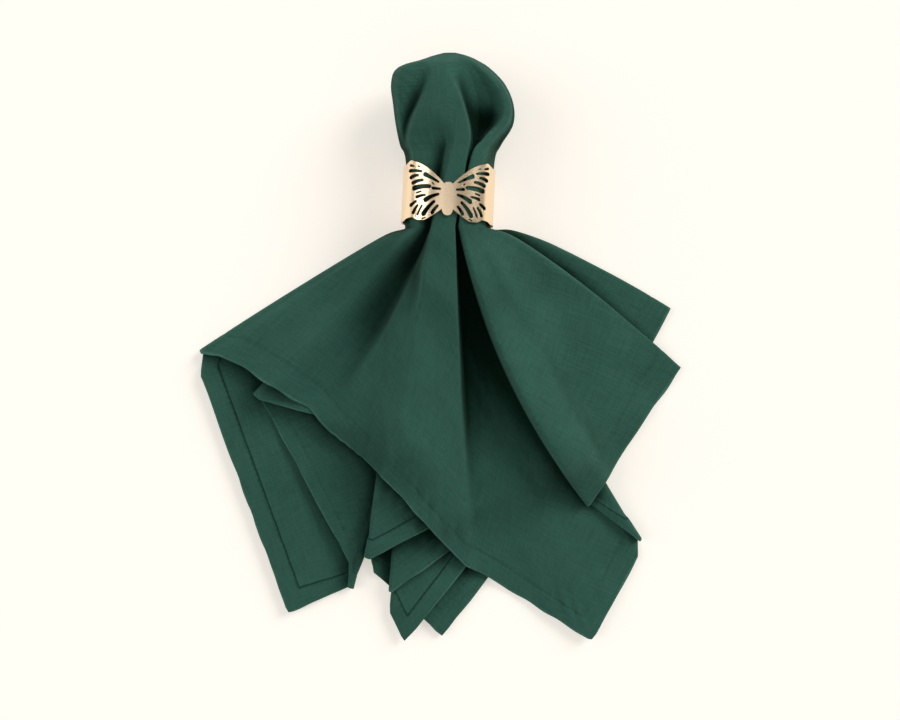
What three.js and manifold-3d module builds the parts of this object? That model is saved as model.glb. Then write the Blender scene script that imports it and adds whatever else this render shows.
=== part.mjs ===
// A square cloth napkin, picked up at its centre and pulled through a napkin ring, lying on a table.
// Millimetres, +Z up. X runs across the napkin, +Y from the spread corners to the puff above the ring.
// The origin is under the middle of the whole object, on the table.
import * as THREE from 'three';
import { mergeVertices } from 'three/addons/utils/BufferGeometryUtils.js';
import Module from 'manifold-3d';

// Driving sizes of the cloth
const cloth = { side: 410, thickness: 1.1, layerGap: 2.1 };

// Driving sizes of the ring: outer width and height, length along the napkin, and sheet thickness.
// The fullness is the exponent of its rounded-rectangle section, and the turn is seen from above.
const ring = {
  x: 3.2, y: 73.5, width: 44.5, height: 42, length: 28.5, sheet: 0.8, fullness: 2.5, turn: -0.045,
};

// The butterfly's outlines, from the middle of the ring's front: X to the right, Y up the wings. After
// the first point come pairs of a bend and the point that the curve runs to. Both are mirrored to the left.
const butterfly = {
  upper: [[20.4, 12.6], [19.6, 13.2], [19, 13.7], [18, 14.6], [16.6, 13.6], [10.2, 11.9], [2, 3.1],
    [1.3, 3.95], [0, 3.95]],
  lower: [[20.4, -14.3], [19.6, -12.9], [16.3, -12.9], [12.6, -16.1], [8, -12.7], [5.2, -11], [2.7, -8.9],
    [2.1, -11.8], [0, -11.8]],
};

// Cells of the right wing, which the left wing mirrors: middle, length between the centres of the two
// round ends, turn, and the radius of the end near the body and of the end far from it
const cells = [
  { x: 17.4, y: 11.5, length: 1.5, turn: 0.32, near: 0.4, far: 0.6 },
  { x: 14.3, y: 11, length: 0.7, turn: 0.4, near: 0.25, far: 0.3 },
  { x: 15.6, y: 8.9, length: 5.2, turn: 0.12, near: 0.5, far: 0.85 },
  { x: 16.2, y: 6.4, length: 3, turn: -0.25, near: 0.6, far: 0.9 },
  { x: 14.5, y: 3.95, length: 4.4, turn: -0.25, near: 0.65, far: 0.9 },
  { x: 12.4, y: 1.2, length: 7.2, turn: -0.1, near: 0.9, far: 1.2 },
  { x: 7.9, y: 5.4, length: 7.2, turn: 0.5, near: 0.45, far: 1.05 },
  { x: 7.2, y: 2.9, length: 1.1, turn: 0.78, near: 0.22, far: 0.3 },
  { x: 5.6, y: 0.6, length: 3.3, turn: 0.09, near: 0.5, far: 0.7 },
  { x: 13.8, y: -1.1, length: 2, turn: -0.27, near: 0.33, far: 0.42 },
  { x: 12.7, y: -2.9, length: 3.8, turn: -0.22, near: 0.45, far: 0.75 },
  { x: 7.5, y: -3.4, length: 6.4, turn: -0.44, near: 0.6, far: 1.1 },
  { x: 16.2, y: -6.3, length: 2.5, turn: -0.7, near: 0.6, far: 0.85 },
  { x: 8.8, y: -8.4, length: 7.5, turn: -0.9, near: 0.65, far: 1.1 },
  { x: 5.9, y: -9.1, length: 3.9, turn: -0.95, near: 0.6, far: 0.85 },
  { x: 13, y: -9.5, length: 4.5, turn: -1.13, near: 0.35, far: 0.5 },
  { x: 15.1, y: -9, length: 3.8, turn: -1.07, near: 0.5, far: 0.8 },
  { x: 10.9, y: -13.3, length: 1.6, turn: -0.33, near: 0.26, far: 0.36 },
];

// Heights between which the front wall is cut, how far a cut runs past the ring, and the cuts' overlap
const cutter = { bottom: 28, top: 46, beyond: 2, overlap: 0.5 };

// How finely the faceted solids are cut
const detail = {
  foldSteps: 4, columnStep: 26, skirtRows: 8, rowCrowding: 1.5, ringRows: 6, gridCell: 3,
  ringSides: 56, cutSteps: 3,
};

// How the cloth falls away from the ring, and how far it smooths the steps of what it lies on
const fall = { halfWidth: 12, reach: 105, power: 1.7, smoothing: 10 };

const colours = { cloth: '#2f5547', ring: '#e3c193' };

// Small helpers
const lerp = (a, b, t) => a + (b - a) * t;
const clamp = (t) => Math.min(1, Math.max(0, t));
const ease = (t) => clamp(t) * clamp(t) * (3 - 2 * clamp(t));

// The keys are the folds, corners and creases met on a walk around the hem, in order.
//   hem     distance walked along the hem, from one corner
//   side    +1 where the cloth folds back at its right-hand edge, -1 at its left-hand edge, 0 no fold
//   across  place in the ring's opening, from -1 at its left to 1 at its right
//   bend    point that draws the crease sideways on its way from the ring to the hem
//   end     where the crease meets the hem
//   lift    height of the cloth over what it lies on, half way down and at the hem
//   bulge   how far the round of a fold stands out
const keys = [
  { name: 'leftFold', hem: 138, side: -1, across: -0.86, bend: [-33, 54], end: [-119.4, -2.6],
    lift: [3, 2.5], bulge: 2.4 },
  { name: 'leftPanel', hem: 150, side: 0, across: -0.84, bend: [-30, 53], end: [-110.5, -3.9], lift: [5, 4] },
  { name: 'groove', hem: 161, side: 0, across: -0.78, bend: [-26, 50], end: [-99.6, -9.2], lift: [6, 5] },
  { name: 'shoulder', hem: 178, side: 0, across: -0.6, bend: [-22, 46], end: [-87.2, -16.6], lift: [8, 6] },
  { name: 'valley', hem: 206, side: 0, across: -0.385, bend: [-14, 31], end: [-65.8, -29.8], lift: [0, 0.5] },
  { name: 'pleatLeft', hem: 267, side: 0, across: -0.327, bend: [-13, 1], end: [-24.8, -66.2], lift: [17, 6] },
  { name: 'pleatRight', hem: 326, side: 0, across: 0.17, bend: [8.5, -25], end: [12, -108], lift: [13, 2] },
  { name: 'hollow', hem: 336, side: 0, across: 0.185, bend: [11, -26], end: [20, -112.5], lift: [2, 0.5] },
  { name: 'frontCorner', hem: 410, side: 0, across: 0.4, bend: [38, -50], end: [75, -146], lift: [3, 2] },
  { name: 'tuckRight', hem: 463, side: 1, across: 0.55, bend: [50, -20], end: [98.2, -95.8],
    lift: [2, 1.6], bulge: 1.4 },
  { name: 'tuckLeft', hem: 491, side: -1, across: 0.34, bend: [27.5, -21], end: [73.6, -77],
    lift: [18, 2], bulge: 2 },
  { name: 'rightCrease', hem: 530, side: 0, across: 0.62, bend: [42, 2], end: [92.4, -48.4], lift: [11, 1.5] },
  { name: 'rightFold', hem: 570, side: 1, across: 0.8, bend: [46, 52], end: [119, -11],
    lift: [2, 0.5], bulge: 1.8 },
  { name: 'innerLeft', hem: 588, side: -1, across: -0.7, bend: [30, 30], end: [100, -8],
    lift: [0, 0], bulge: 1.4 },
  { name: 'backRight', hem: 616, side: 1, across: 0.83, bend: [49, 58], end: [113.5, 19],
    lift: [1, 0.5], bulge: 2.0 },
  { name: 'lowCorner', hem: 820, side: 0, across: 0, bend: null, end: [-18.5, -147], lift: [0, 0] },
  { name: 'pleatLeftA', hem: 848, side: -1, across: -0.62, bend: null, end: [-25, -121],
    lift: [0, 2], bulge: 1.6 },
  { name: 'hiddenRightA', hem: 1010, side: 1, across: 0.66, bend: null, end: [100, -32.5],
    lift: [0, 0], bulge: 1.5 },
  { name: 'pleatLeftB', hem: 1174, side: -1, across: -0.78, bend: [-26, -40], end: [-35.5, -103.5],
    lift: [2, 5], bulge: 2.4 },
  { name: 'backCorner', hem: 1230, side: 0, across: 0, bend: null, end: [0, -144], lift: [0, 0] },
  { name: 'hiddenRightB', hem: 1332, side: 1, across: 0.8, bend: null, end: [61, -66],
    lift: [0, 0], bulge: 1.5 },
  { name: 'pleatLeftC', hem: 1497, side: -1, across: -0.76, bend: null, end: [-90, -25.5],
    lift: [2, 5], bulge: 2.4 },
  { name: 'flapRight', hem: 1605, side: 1, across: 0.6, bend: [-20, -30], end: [-46, -118],
    lift: [2, 3], bulge: 2.4 },
  { name: 'flapCorner', hem: 1640, side: 0, across: 0, bend: null, end: [-76.5, -132], lift: [0, 0] },
];

// The layer that follows each fold on the walk, by its place in the pile, 1 on top
const pile = {
  leftFold: 3, tuckRight: 2, tuckLeft: 1, rightFold: 4, innerLeft: 5, backRight: 8,
  pleatLeftA: 7, hiddenRightA: 6, pleatLeftB: 9, hiddenRightB: 10, pleatLeftC: 11, flapRight: 12,
};
const layerCount = 12;

// Sections of the cloth across Y, from the puff's top down to the lower edge of the ring.
// centre, half and depth give the rounded outline. pleats and tuck say how far the inner pleats and
// the front tuck are closed, and spread how evenly the back of the puff is spread round it.
// Each front crease has its place across and its level, both from -1 to 1.
const frontCreases = ['leftFold', 'leftPanel', 'groove', 'shoulder', 'valley', 'pleatLeft', 'pleatRight',
  'hollow', 'frontCorner', 'tuckRight', 'tuckLeft', 'rightCrease', 'rightFold'];
const sections = [
  { y: 140.4, centre: 4, half: 9.2, depth: 3.6, pleats: 0, spread: 1, tuck: 0,
    across: [-0.9, -0.7, -0.45, -0.25, -0.1, 0, 0.1, 0.3, 0.42, 0.5, 0.6, 0.72, 0.86],
    level: [0.9, 1, 1, 1, 1, 1, 1, 1, 1, 1, 1, 1, 0.9] },
  { y: 138, centre: 3, half: 15, depth: 6.5, pleats: 0, spread: 1, tuck: 0,
    across: [-0.9, -0.7, -0.42, -0.22, -0.1, -0.02, 0.08, 0.34, 0.46, 0.55, 0.66, 0.78, 0.88],
    level: [0.9, 1, 0.98, 1, 1, 1, 1, 0.96, 0.95, 0.96, 1, 0.97, 0.85] },
  { y: 134.6, centre: 0.6, half: 22.5, depth: 10, pleats: 0, spread: 1, tuck: 0,
    across: [-0.92, -0.75, -0.4, -0.22, -0.12, -0.03, 0.06, 0.38, 0.5, 0.6, 0.72, 0.82, 0.9],
    level: [0.85, 1, 0.94, 1, 1, 1, 1, 0.8, 0.8, 0.84, 0.96, 0.95, 0.8] },
  { y: 127.3, centre: 2.8, half: 27.3, depth: 14.5, pleats: 0, spread: 1, tuck: 0,
    across: [-0.93, -0.8, -0.44, -0.27, -0.18, -0.08, 0.01, 0.4, 0.53, 0.65, 0.76, 0.86, 0.93],
    level: [0.7, 0.97, 0.72, 0.97, 1, 1, 0.97, 0.42, 0.42, 0.52, 0.85, 0.92, 0.7] },
  { y: 117.7, centre: 5.5, half: 28.8, depth: 17.5, pleats: 0, spread: 0.8, tuck: 0,
    across: [-0.94, -0.83, -0.65, -0.5, -0.3, -0.12, 0.09, 0.42, 0.55, 0.68, 0.8, 0.9, 0.96],
    level: [0.6, 0.85, 0.4, 0.88, 1, 1, 0.95, 0.05, 0.05, 0.2, 0.72, 0.88, 0.6] },
  { y: 108, centre: 6.3, half: 28, depth: 18.5, pleats: 0, spread: 0.5, tuck: 0,
    across: [-0.95, -0.9, -0.83, -0.74, -0.35, -0.1, 0.2, 0.43, 0.52, 0.62, 0.75, 0.88, 0.96],
    level: [0.45, 0.6, 0.4, 0.85, 0.98, 1, 0.97, -0.15, -0.15, -0.05, 0.62, 0.85, 0.5] },
  { y: 98.3, centre: 5, half: 25, depth: 19, pleats: 0, spread: 0.2, tuck: 0,
    across: [-0.95, -0.93, -0.9, -0.84, -0.24, -0.1, 0.34, 0.42, 0.47, 0.52, 0.61, 0.78, 0.93],
    level: [0.3, 0.35, 0.42, 0.75, 0.86, 0.95, 0.97, 0.2, 0.2, 0.25, 0.85, 0.9, 0.45] },
  { y: 91, centre: 4.1, half: 20.3, depth: 19.2, pleats: 0, spread: 0, tuck: 0.8,
    across: [-0.84, -0.83, -0.81, -0.76, -0.22, -0.08, 0.4, 0.42, 0.5, 0.6, 0.54, 0.72, 0.84],
    level: [0.5, 0.55, 0.64, 0.8, 0.68, 0.98, 0.98, 0.62, 0.62, 0.62, 1, 1, 0.7] },
  { y: 57, centre: 2.5, half: 20.5, depth: 19.2, pleats: 1, spread: 0, tuck: 1,
    across: [-0.86, -0.84, -0.78, -0.6, -0.385, -0.327, 0.17, 0.185, 0.4, 0.55, 0.34, 0.62, 0.8],
    level: [0.636, 0.72, 0.85, 0.96, 0.64, 1, 1, 0.64, 0.64, 0.64, 1, 1, 1] },
];
const puffTop = { x: 3.9, y: 142.4, z: 21 };
const axisHeight = 21;
const neck = sections[sections.length - 1];
const ringTopRow = sections[sections.length - 2];

// Stretch of the outline, as angles from its right-hand side, where the inner cloth lies in the puff
const drawnSpan = [0.1, -0.95];
const tuckSplit = 0.18;

// Level in the ring's opening of a layer by its place in the pile: 1 at the top, -1 at the bottom
const levelOf = (place) => 1 - (2 * (place - 1)) / (layerCount - 1);

// Height of the rounded outline at a place across it, both as shares of its half sizes
function roundness(across) {
  const side = Math.min(0.9999, Math.abs(across));
  return Math.pow(1 - Math.pow(side, ring.fullness), 1 / ring.fullness);
}

// Point of the rounded outline at an angle, as shares of its half sizes
function onOutline(angle) {
  const power = 2 / ring.fullness;
  const x = Math.sign(Math.cos(angle)) * Math.pow(Math.abs(Math.cos(angle)), power);
  const z = Math.sign(Math.sin(angle)) * Math.pow(Math.abs(Math.sin(angle)), power);
  return [x, z];
}

// Each key is given the places of the layers before and after it
let place = pile.flapRight;
for (const key of keys) {
  key.before = place;
  place = pile[key.name] ?? place;
  key.after = place;
}

// Columns of the mesh on the walk around the hem: a few around each fold, and a few along each layer
function makeColumns() {
  const list = [];
  keys.forEach((key, index) => {
    const next = keys[(index + 1) % keys.length];
    const folds = key.side === 0 ? 0 : detail.foldSteps;
    for (let step = 0; step <= folds; step++) {
      list.push({ key, next, turn: folds === 0 ? null : step / folds, along: 0, place: key.after });
    }
    const walked = (next.hem - key.hem + 4 * cloth.side) % (4 * cloth.side);
    const steps = Math.max(1, Math.round(walked / detail.columnStep));
    for (let step = 1; step < steps; step++) {
      list.push({ key, next, turn: null, along: step / steps, place: key.after });
    }
  });
  return list;
}
const columns = makeColumns();
const columnAt = (name) => columns.findIndex((column) => column.key.name === name);
const lastColumnAt = (name) => columnAt(name) + detail.foldSteps;
const middleColumnAt = (name) => columnAt(name) + detail.foldSteps / 2;

// Where the cloth crosses a section at a key, before or after its fold: across and level
function crossing(section, key, isBefore) {
  const place = frontCreases.indexOf(key.name);
  if (place < 0 || (key.name === 'leftFold' && isBefore) || (key.name === 'rightFold' && !isBefore)) {
    const across = place < 0 ? innerAcross(section, key) : section.across[place];
    return [across, innerLevel(section, isBefore ? key.before : key.after)];
  }
  const split = tuckSplit * section.tuck;
  const raised = key.name === 'tuckRight' && !isBefore ? split : 0;
  const lowered = key.name === 'tuckLeft' && isBefore ? split : 0;
  return [section.across[place], section.level[place] + raised - lowered];
}

// The rolled-up pleat in the middle of the pile unrolls first, and then the others draw back
const unrolledPlaces = { pleatLeftA: 0.5, hiddenRightA: -0.3 };
const rolledPlaces = [6, 8];
function innerAcross(section, key) {
  const unrolled = ease((1 - section.pleats) / 0.4);
  return lerp(key.across, unrolledPlaces[key.name] ?? key.across, unrolled);
}

function innerLevel(section, place) {
  const flattened = ease((0.6 - section.pleats) / 0.3);
  const level = levelOf(place);
  return rolledPlaces.includes(place) ? lerp(level, levelOf(7), flattened) : level;
}

// One section of the cloth as points, one for each column
function sectionPoints(section) {
  const first = columnAt('rightFold');
  const last = lastColumnAt('flapRight');
  const drawnBack = ease((0.5 - section.pleats) / 0.4);
  const points = columns.map((column, index) => {
    let [across, level] = crossing(section, column.key, column.turn !== null);
    const own = crossing(section, column.key, false);
    if (column.turn !== null) {
      const halfHeight = (level - own[1]) / 2;
      const reach = Math.abs(halfHeight) * section.depth * roundness(across);
      const bulge = Math.min(reach, column.key.bulge) / section.half;
      across += column.key.side * bulge * Math.sin(Math.PI * column.turn);
      level = (level + own[1]) / 2 + halfHeight * Math.cos(Math.PI * column.turn);
    } else if (column.along > 0) {
      const end = crossing(section, column.next, true);
      across = lerp(own[0], end[0], column.along);
      level = lerp(own[1], end[1], column.along);
    }
    const point = [section.centre + section.half * across, section.y,
      axisHeight + section.depth * level * roundness(across)];
    if (index > first && index < last) {
      // Drawn right back, the inner cloth lies along the right-hand side of the outline
      const angle = lerp(drawnSpan[0], drawnSpan[1], (index - first) / (last - first));
      const [side, height] = onOutline(angle);
      point[0] = lerp(point[0], section.centre + section.half * side, drawnBack);
      point[2] = lerp(point[2], axisHeight + section.depth * height, drawnBack);
    }
    return point;
  });
  const open = 1 - section.tuck;
  respace(points, columnAt('hollow'), middleColumnAt('tuckRight'), open);
  respace(points, middleColumnAt('tuckRight'), middleColumnAt('tuckLeft'), open);
  respace(points, middleColumnAt('tuckLeft'), first, open);
  respace(points, first, points.length + columnAt('leftFold'), section.spread);
  return points;
}

// Move the points of a stretch along its own line, by a share, towards even spacing
function respace(points, first, last, share) {
  const at = (index) => points[index % points.length];
  const line = [];
  const walked = [0];
  for (let index = first; index <= last; index++) {
    line.push([...at(index)]);
    if (index > first) {
      const before = line[line.length - 2];
      const now = line[line.length - 1];
      walked.push(walked[walked.length - 1] + Math.hypot(now[0] - before[0], now[2] - before[2]));
    }
  }
  const total = walked[walked.length - 1];
  for (let index = first + 1; index < last; index++) {
    const even = (total * (index - first)) / (last - first);
    const wanted = lerp(walked[index - first], even, share);
    let piece = 1;
    while (piece < walked.length - 1 && walked[piece] < wanted) {
      piece += 1;
    }
    const length = walked[piece] - walked[piece - 1];
    const part = length > 0 ? (wanted - walked[piece - 1]) / length : 0;
    const target = at(index);
    target[0] = lerp(line[piece - 1][0], line[piece][0], part);
    target[2] = lerp(line[piece - 1][2], line[piece][2], part);
  }
}

// A section between two rows of the table
function between(upper, lower, t) {
  const blend = {};
  for (const name of Object.keys(lower)) {
    const a = upper[name];
    const b = lower[name];
    blend[name] = Array.isArray(a) ? a.map((value, i) => lerp(value, b[i], t)) : lerp(a, b, t);
  }
  return blend;
}

// The neck's points, from which every crease runs out to the hem
const neckPoints = sectionPoints(neck);
const neckOf = (key) => {
  const own = crossing(neck, key, false);
  return [neck.centre + neck.half * own[0], neck.y];
};
for (const key of keys) {
  const start = neckOf(key);
  key.start = start;
  key.bend = key.bend ?? [(start[0] + key.end[0]) / 2, (start[1] + key.end[1]) / 2];
}

// Point of a curved ray, seen from above, at a share of the way from the ring to the hem
function rayPoint(start, bend, end, v) {
  const a = (1 - v) * (1 - v);
  const b = 2 * v * (1 - v);
  return [a * start[0] + b * bend[0] + v * v * end[0], a * start[1] + b * bend[1] + v * v * end[1]];
}

// Plan of a place on a layer: between two keys, at a share of the way to the hem
function planPoint(key, next, along, start, v) {
  const bend = [lerp(key.bend[0], next.bend[0], along), lerp(key.bend[1], next.bend[1], along)];
  const end = [lerp(key.end[0], next.end[0], along), lerp(key.end[1], next.end[1], along)];
  return rayPoint(start, bend, end, v);
}

// Lift of a key at a share of the way: only the upper of the two layers at a fold is lifted
function liftAt(key, layer, v, fromNeck) {
  const upper = key.side === 0 || layer === Math.min(key.before, key.after);
  const middle = upper ? key.lift[0] : 0;
  const hem = upper ? key.lift[1] : 0;
  return v < 0.5 ? lerp(fromNeck, middle, ease(2 * v)) : lerp(middle, hem, ease(2 * v - 1));
}

// A grid over the table, seen from above, that holds a height in each cell
const grid = { left: -132, low: -160, wide: 89, deep: 76 };
const cellIndex = (i, j) => j * grid.wide + i;
function sampleGrid(values, x, y) {
  const gx = Math.min(grid.wide - 1.001, Math.max(0, (x - grid.left) / detail.gridCell));
  const gy = Math.min(grid.deep - 1.001, Math.max(0, (y - grid.low) / detail.gridCell));
  const i = Math.floor(gx);
  const j = Math.floor(gy);
  const near = lerp(values[cellIndex(i, j)], values[cellIndex(i + 1, j)], gx - i);
  const far = lerp(values[cellIndex(i, j + 1)], values[cellIndex(i + 1, j + 1)], gx - i);
  return lerp(near, far, gy - j);
}

// Height at which a layer leaves the ring, falling away with the distance from it
function fallFromNeck(level, x, y) {
  const aside = Math.abs(x - neck.centre);
  const height = axisHeight + neck.depth * level * roundness(Math.min(0.8, aside / neck.half));
  const away = Math.hypot(Math.max(0, aside - fall.halfWidth), neck.y - y);
  const share = Math.max(0, 1 - away / (fall.reach * (0.6 + 0.4 * (level + 1) / 2)));
  return height * Math.pow(share, fall.power);
}

// Lay the layers on the table one by one, from the lowest: each keeps a gap over what it lies on
function layDown() {
  const cells = grid.wide * grid.deep;
  let floor = new Float64Array(cells).fill(cloth.thickness / 2);
  const heights = {};
  for (let layer = layerCount; layer >= 1; layer--) {
    const base = new Float64Array(cells);
    for (let j = 0; j < grid.deep; j++) {
      for (let i = 0; i < grid.wide; i++) {
        const x = grid.left + i * detail.gridCell;
        const y = grid.low + j * detail.gridCell;
        base[cellIndex(i, j)] = Math.max(floor[cellIndex(i, j)], fallFromNeck(levelOf(layer), x, y));
      }
    }
    heights[layer] = smoothOver(base);
    floor = raiseFloor(floor, heights, layer);
  }
  return heights;
}

// Bridge the steps of a height field, never going below it
function smoothOver(base) {
  let values = Float64Array.from(base);
  for (let round = 0; round < fall.smoothing; round++) {
    const next = Float64Array.from(values);
    for (let j = 1; j < grid.deep - 1; j++) {
      for (let i = 1; i < grid.wide - 1; i++) {
        const around = values[cellIndex(i - 1, j)] + values[cellIndex(i + 1, j)]
          + values[cellIndex(i, j - 1)] + values[cellIndex(i, j + 1)];
        next[cellIndex(i, j)] = Math.max(base[cellIndex(i, j)], around / 4);
      }
    }
    values = next;
  }
  return values;
}

// Height of a place on a layer, with the lift of the keys on either side of it
function layerHeight(heights, layer, key, next, along, start, v) {
  const [x, y] = planPoint(key, next, along, start, v);
  const settled = sampleGrid(heights[layer], x, y);
  const fromNeck = start[2] - sampleGrid(heights[layer], start[0], start[1]);
  const lift = lerp(liftAt(key, layer, v, fromNeck), liftAt(next, layer, v, fromNeck), ease(along));
  return [x, y, settled + lift];
}

// The floor for the layers above, raised wherever this layer lies
function raiseFloor(floor, heights, layer) {
  const raised = Float64Array.from(floor);
  columns.forEach((column, index) => {
    const nextIndex = (index + 1) % columns.length;
    if (column.place !== layer || (column.turn !== null && column.turn < 1)) {
      return;
    }
    const last = columns[nextIndex].key === column.key ? columns[nextIndex].along : 1;
    for (let part = 0; part <= 1; part += 0.125) {
      const along = lerp(column.along, last, part);
      const start = startBetween(index, nextIndex, part);
      for (let v = 0; v <= 1.0001; v += 0.0125) {
        const [x, y, z] = layerHeight(heights, layer, column.key, column.next, along, start, v);
        const i = Math.floor((x - grid.left) / detail.gridCell);
        const j = Math.floor((y - grid.low) / detail.gridCell);
        const near = [cellIndex(i, j), cellIndex(i + 1, j)];
        const far = [cellIndex(i, j + 1), cellIndex(i + 1, j + 1)];
        for (const cell of [...near, ...far]) {
          raised[cell] = Math.max(raised[cell], z + cloth.layerGap, heights[layer][cell] + cloth.layerGap);
        }
      }
    }
  });
  return raised;
}

function startBetween(index, nextIndex, part) {
  const a = neckPoints[index];
  const b = neckPoints[nextIndex];
  return [lerp(a[0], b[0], part), lerp(a[1], b[1], part), lerp(a[2], b[2], part)];
}

// A point of the skirt: along a layer, or on the round of a fold between two layers
function skirtPoint(heights, index, v) {
  const column = columns[index];
  if (column.turn === null) {
    return layerHeight(heights, column.place, column.key, column.next, column.along, neckPoints[index], v);
  }
  const first = index - Math.round(column.turn * detail.foldSteps);
  const last = first + detail.foldSteps;
  const { key } = column;
  const before = layerHeight(heights, key.before, key, key, 0, neckPoints[first], v);
  const after = layerHeight(heights, key.after, key, key, 0, neckPoints[last], v);
  const halfHeight = (before[2] - after[2]) / 2;
  const bulge = Math.min(Math.abs(halfHeight), key.bulge);
  const ahead = rayPoint(key.start, key.bend, key.end, Math.min(1, v + 0.01));
  const behind = rayPoint(key.start, key.bend, key.end, Math.max(0, v - 0.01));
  const length = Math.hypot(ahead[0] - behind[0], ahead[1] - behind[1]);
  const turned = ease(v / 0.3);
  const outX = lerp(1, -(ahead[1] - behind[1]) / length, turned);
  const outY = lerp(0, (ahead[0] - behind[0]) / length, turned);
  const reach = (key.side * bulge * Math.sin(Math.PI * column.turn)) / Math.hypot(outX, outY);
  return [
    before[0] + outX * reach,
    before[1] + outY * reach,
    (before[2] + after[2]) / 2 + halfHeight * Math.cos(Math.PI * column.turn),
  ];
}

// All rows of the sheet, from just under the puff's top to the hem
function sheetRows() {
  const heights = layDown();
  const rows = sections.slice(0, -1).map(sectionPoints);
  for (let row = 1; row <= detail.ringRows; row++) {
    rows.push(sectionPoints(between(ringTopRow, neck, row / detail.ringRows)));
  }
  for (let row = 1; row <= detail.skirtRows; row++) {
    const v = Math.pow(row / detail.skirtRows, detail.rowCrowding);
    rows.push(columns.map((column, index) => skirtPoint(heights, index, v)));
  }
  return rows;
}

// Give the sheet its thickness: a skin on either side, closed along the hem
function thicken(rows) {
  const around = columns.length;
  const vectors = rows.map((row) => row.map((p) => new THREE.Vector3(...p)));
  const top = new THREE.Vector3(puffTop.x, puffTop.y, puffTop.z);
  const half = cloth.thickness / 2;
  const positions = [];
  const faces = [];
  for (const side of [-1, 1]) {
    positions.push(top.x, top.y + side * half, top.z);
    vectors.forEach((row, r) => {
      row.forEach((point, c) => {
        const left = row[(c + around - 1) % around];
        const right = row[(c + 1) % around];
        const up = r === 0 ? top : vectors[r - 1][c];
        const down = vectors[Math.min(r + 1, rows.length - 1)][c];
        const across = right.clone().sub(left).normalize();
        const along = down.clone().sub(up).normalize();
        const normal = along.cross(across).normalize().multiplyScalar(side * half);
        const moved = point.clone().add(normal);
        positions.push(moved.x, moved.y, Math.max(0, moved.z));
      });
    });
  }
  const skin = 1 + rows.length * around;
  const vertex = (side, r, c) => side * skin + 1 + r * around + (c % around);
  const quad = (a, b, c, d) => faces.push(a, b, c, a, c, d);
  for (let c = 0; c < around; c++) {
    faces.push(0, vertex(0, 0, c + 1), vertex(0, 0, c));
    faces.push(skin, vertex(1, 0, c), vertex(1, 0, c + 1));
    for (let r = 0; r + 1 < rows.length; r++) {
      quad(vertex(0, r, c), vertex(0, r, c + 1), vertex(0, r + 1, c + 1), vertex(0, r + 1, c));
      quad(vertex(1, r, c), vertex(1, r + 1, c), vertex(1, r + 1, c + 1), vertex(1, r, c + 1));
    }
    const hem = rows.length - 1;
    quad(vertex(0, hem, c), vertex(0, hem, c + 1), vertex(1, hem, c + 1), vertex(1, hem, c));
  }
  const geometry = new THREE.BufferGeometry();
  geometry.setAttribute('position', new THREE.Float32BufferAttribute(positions, 3));
  geometry.setIndex(faces);
  return geometry;
}

// Rounded-rectangle outline of the ring at a distance inside its outer face
function ringOutline(inset) {
  const points = [];
  for (let step = 0; step < detail.ringSides; step++) {
    const angle = (2 * Math.PI * (step + 0.5)) / detail.ringSides;
    const [x, z] = onOutline(angle);
    points.push(new THREE.Vector2(x * (ring.width / 2 - inset), z * (ring.height / 2 - inset)));
  }
  return points;
}

// The napkin
function makeNapkin() {
  const napkin = new THREE.Mesh(
    thicken(sheetRows()),
    new THREE.MeshStandardMaterial({ color: colours.cloth, roughness: 0.9, metalness: 0 }),
  );
  napkin.name = 'napkin';
  return napkin;
}

// Turning meshes into solids for cutting, and back
const wasm = await Module();
wasm.setup();

function toSolid(geometry) {
  geometry.deleteAttribute('normal');
  geometry.deleteAttribute('uv');
  const merged = mergeVertices(geometry, 1e-4);
  const vertProperties = Float32Array.from(merged.attributes.position.array);
  const triVerts = Uint32Array.from(merged.index.array);
  return new wasm.Manifold(new wasm.Mesh({ numProp: 3, vertProperties, triVerts }));
}

function toGeometry(solid) {
  const mesh = solid.getMesh();
  const geometry = new THREE.BufferGeometry();
  geometry.setAttribute('position', new THREE.BufferAttribute(mesh.vertProperties, 3));
  geometry.setIndex(new THREE.BufferAttribute(mesh.triVerts, 1));
  return geometry;
}

// The closed band, its length along Y and its lowest flat at height 0
function makeBand() {
  const shape = new THREE.Shape(ringOutline(0));
  shape.holes.push(new THREE.Path(ringOutline(ring.sheet)));
  const geometry = new THREE.ExtrudeGeometry(shape, { depth: ring.length, bevelEnabled: false });
  geometry.rotateX(Math.PI / 2);
  geometry.computeBoundingBox();
  geometry.translate(0, ring.length / 2, -geometry.boundingBox.min.z);
  return toSolid(geometry);
}

// A prism that cuts down through the front wall of the band only
function makeCutter(shape) {
  const geometry = new THREE.ExtrudeGeometry(shape, {
    depth: cutter.top - cutter.bottom, bevelEnabled: false, curveSegments: detail.cutSteps,
  });
  geometry.translate(0, 0, cutter.bottom);
  return toSolid(geometry);
}

// What is cut away above or below the butterfly: from one side to the other along its outline
function notchShape(stops, beyond) {
  const [foot] = stops;
  const wide = ring.width / 2 + cutter.beyond;
  const shape = new THREE.Shape();
  shape.moveTo(-wide, beyond);
  shape.lineTo(-wide, foot[1]);
  shape.lineTo(-foot[0], foot[1]);
  for (let i = 1; i < stops.length; i += 2) {
    shape.quadraticCurveTo(-stops[i][0], stops[i][1], -stops[i + 1][0], stops[i + 1][1]);
  }
  for (let i = stops.length - 2; i > 0; i -= 2) {
    shape.quadraticCurveTo(stops[i][0], stops[i][1], stops[i - 1][0], stops[i - 1][1]);
  }
  shape.lineTo(wide, foot[1]);
  shape.lineTo(wide, beyond);
  return shape;
}

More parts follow.
